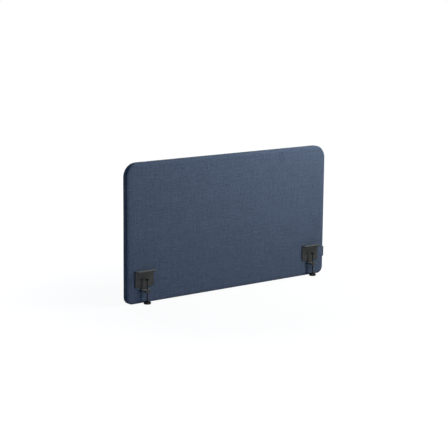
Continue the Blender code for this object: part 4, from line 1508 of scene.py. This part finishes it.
# ==== Set: floor, light and camera ====
def make_floor():
    """A pale floor that glows more the further it is from the panel, up to the white behind it. Its dimmer
    glow near the panel is painted shade round the panel's base, which also lets the lamps' real shadows
    show there.
    """
    corners = [(u * FLOOR_HALF, v * FLOOR_HALF, 0.0) for u, v in ((-1, -1), (1, -1), (1, 1), (-1, 1))]
    mesh = bpy.data.meshes.new("floor")
    mesh.from_pydata(corners, [], [(0, 1, 2, 3)])
    floor = linked("floor", mesh)
    floor.location.z = -FLOOR_SINK
    paper = Finish("pale_floor", Roughness=0.9, Base_Color=(0.10, 0.10, 0.10, 1.0), Specular_IOR_Level=0.0,
                   Emission_Color=(1.0, 1.0, 1.0, 1.0))
    away = paper.node("ShaderNodeVectorMath", {0: paper.place()}, operation="LENGTH").outputs["Value"]
    # Dimmer glow near the panel: painted shade round its base.
    glow = paper.mapped(away, *GLOW_DISTANCES, *GLOW_STRENGTHS, interpolation_type="SMOOTHSTEP")
    mesh.materials.append(paper.feed(Emission_Strength=glow))
    floor.visible_diffuse = False


def add_lamp(name, kind, place, target, power, colour):
    light = bpy.data.lights.new(name, kind)
    light.energy = power
    light.color = colour
    lamp = linked(name, light)
    lamp.location = place
    lamp.rotation_euler = (Vector(target) - Vector(place)).to_track_quat("-Z", "Y").to_euler()
    lamp.visible_camera = False
    return light


def make_lights():
    """A blue fill all round that the camera sees as white, a distant key light and four softboxes."""
    world = bpy.data.worlds.new("studio")
    bpy.context.scene.world = world
    world.use_nodes = True
    tree = world.node_tree
    tree.nodes.clear()
    eye = add_node(tree, "ShaderNodeLightPath").outputs["Is Camera Ray"]
    fill, seen = (
        add_node(tree, "ShaderNodeBackground", {"Color": (*colour, 1.0), "Strength": strength}).outputs[0]
        for colour, strength in (FILL_LIGHT, BACKDROP)
    )
    both = add_node(tree, "ShaderNodeMixShader", {0: eye, 1: fill, 2: seen}).outputs[0]
    add_node(tree, "ShaderNodeOutputWorld", {"Surface": both})
    angle = math.radians(KEY_AZIMUTH)
    place = (KEY_DISTANCE * math.sin(angle), -KEY_DISTANCE * math.cos(angle), KEY_HEIGHT)
    key = add_lamp("key", "SUN", place, (0.0, 0.0, 0.3), KEY_STRENGTH, (1.04, 1.0, 0.95))
    key.angle = KEY_SOFTNESS
    for name, place, target, size, power, colour in SOFTBOXES:
        light = add_lamp(name, "AREA", place, target, power, colour)
        light.shape = "RECTANGLE"
        light.size, light.size_y = size


def make_camera():
    data = bpy.data.cameras.new("camera")
    data.lens = CAMERA_LENS
    camera = linked("camera", data)
    a, p, r = (math.radians(x) for x in (CAMERA_AZIMUTH, CAMERA_PITCH, CAMERA_ROLL))
    ahead = Vector((math.sin(a) * math.cos(p), math.cos(a) * math.cos(p), -math.sin(p)))
    level = Vector((math.cos(a), -math.sin(a), 0.0))
    upright = level.cross(ahead)
    right = math.cos(r) * level + math.sin(r) * upright
    up = -math.sin(r) * level + math.cos(r) * upright
    turn = Matrix((right, up, -ahead)).transposed().to_4x4()
    camera.matrix_world = Matrix.Translation(CAMERA_PLACE) @ turn
    bpy.context.scene.camera = camera
    bpy.context.scene.view_settings.view_transform = "Standard"


# ==== Making it all ====
def dress_nodes():
    """Gives the CAD nodes that stay, which are all inside the cover, a procedural material."""
    for name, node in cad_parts.items():
        for key, finish in (("core_board", "board"), ("wadding", "wadding"), ("insert", "plated")):
            if key in name:
                node.data.materials.clear()
                node.data.materials.append(MATERIALS[finish])


def main():
    make_camera()
    MATERIALS.update(make_materials())
    dress_nodes()
    make_cover("front_fabric", -1, "front_cover")
    make_cover("rear_fabric", 1, "rear_cover")
    make_bottom_strip()
    make_zip_tapes()
    make_stitching()
    make_chain()
    make_slider()
    make_puller()
    make_stops()
    make_side_tab()
    for label, side in SIDES.items():
        make_clamp(label, side)
    make_floor()
    make_lights()


main()
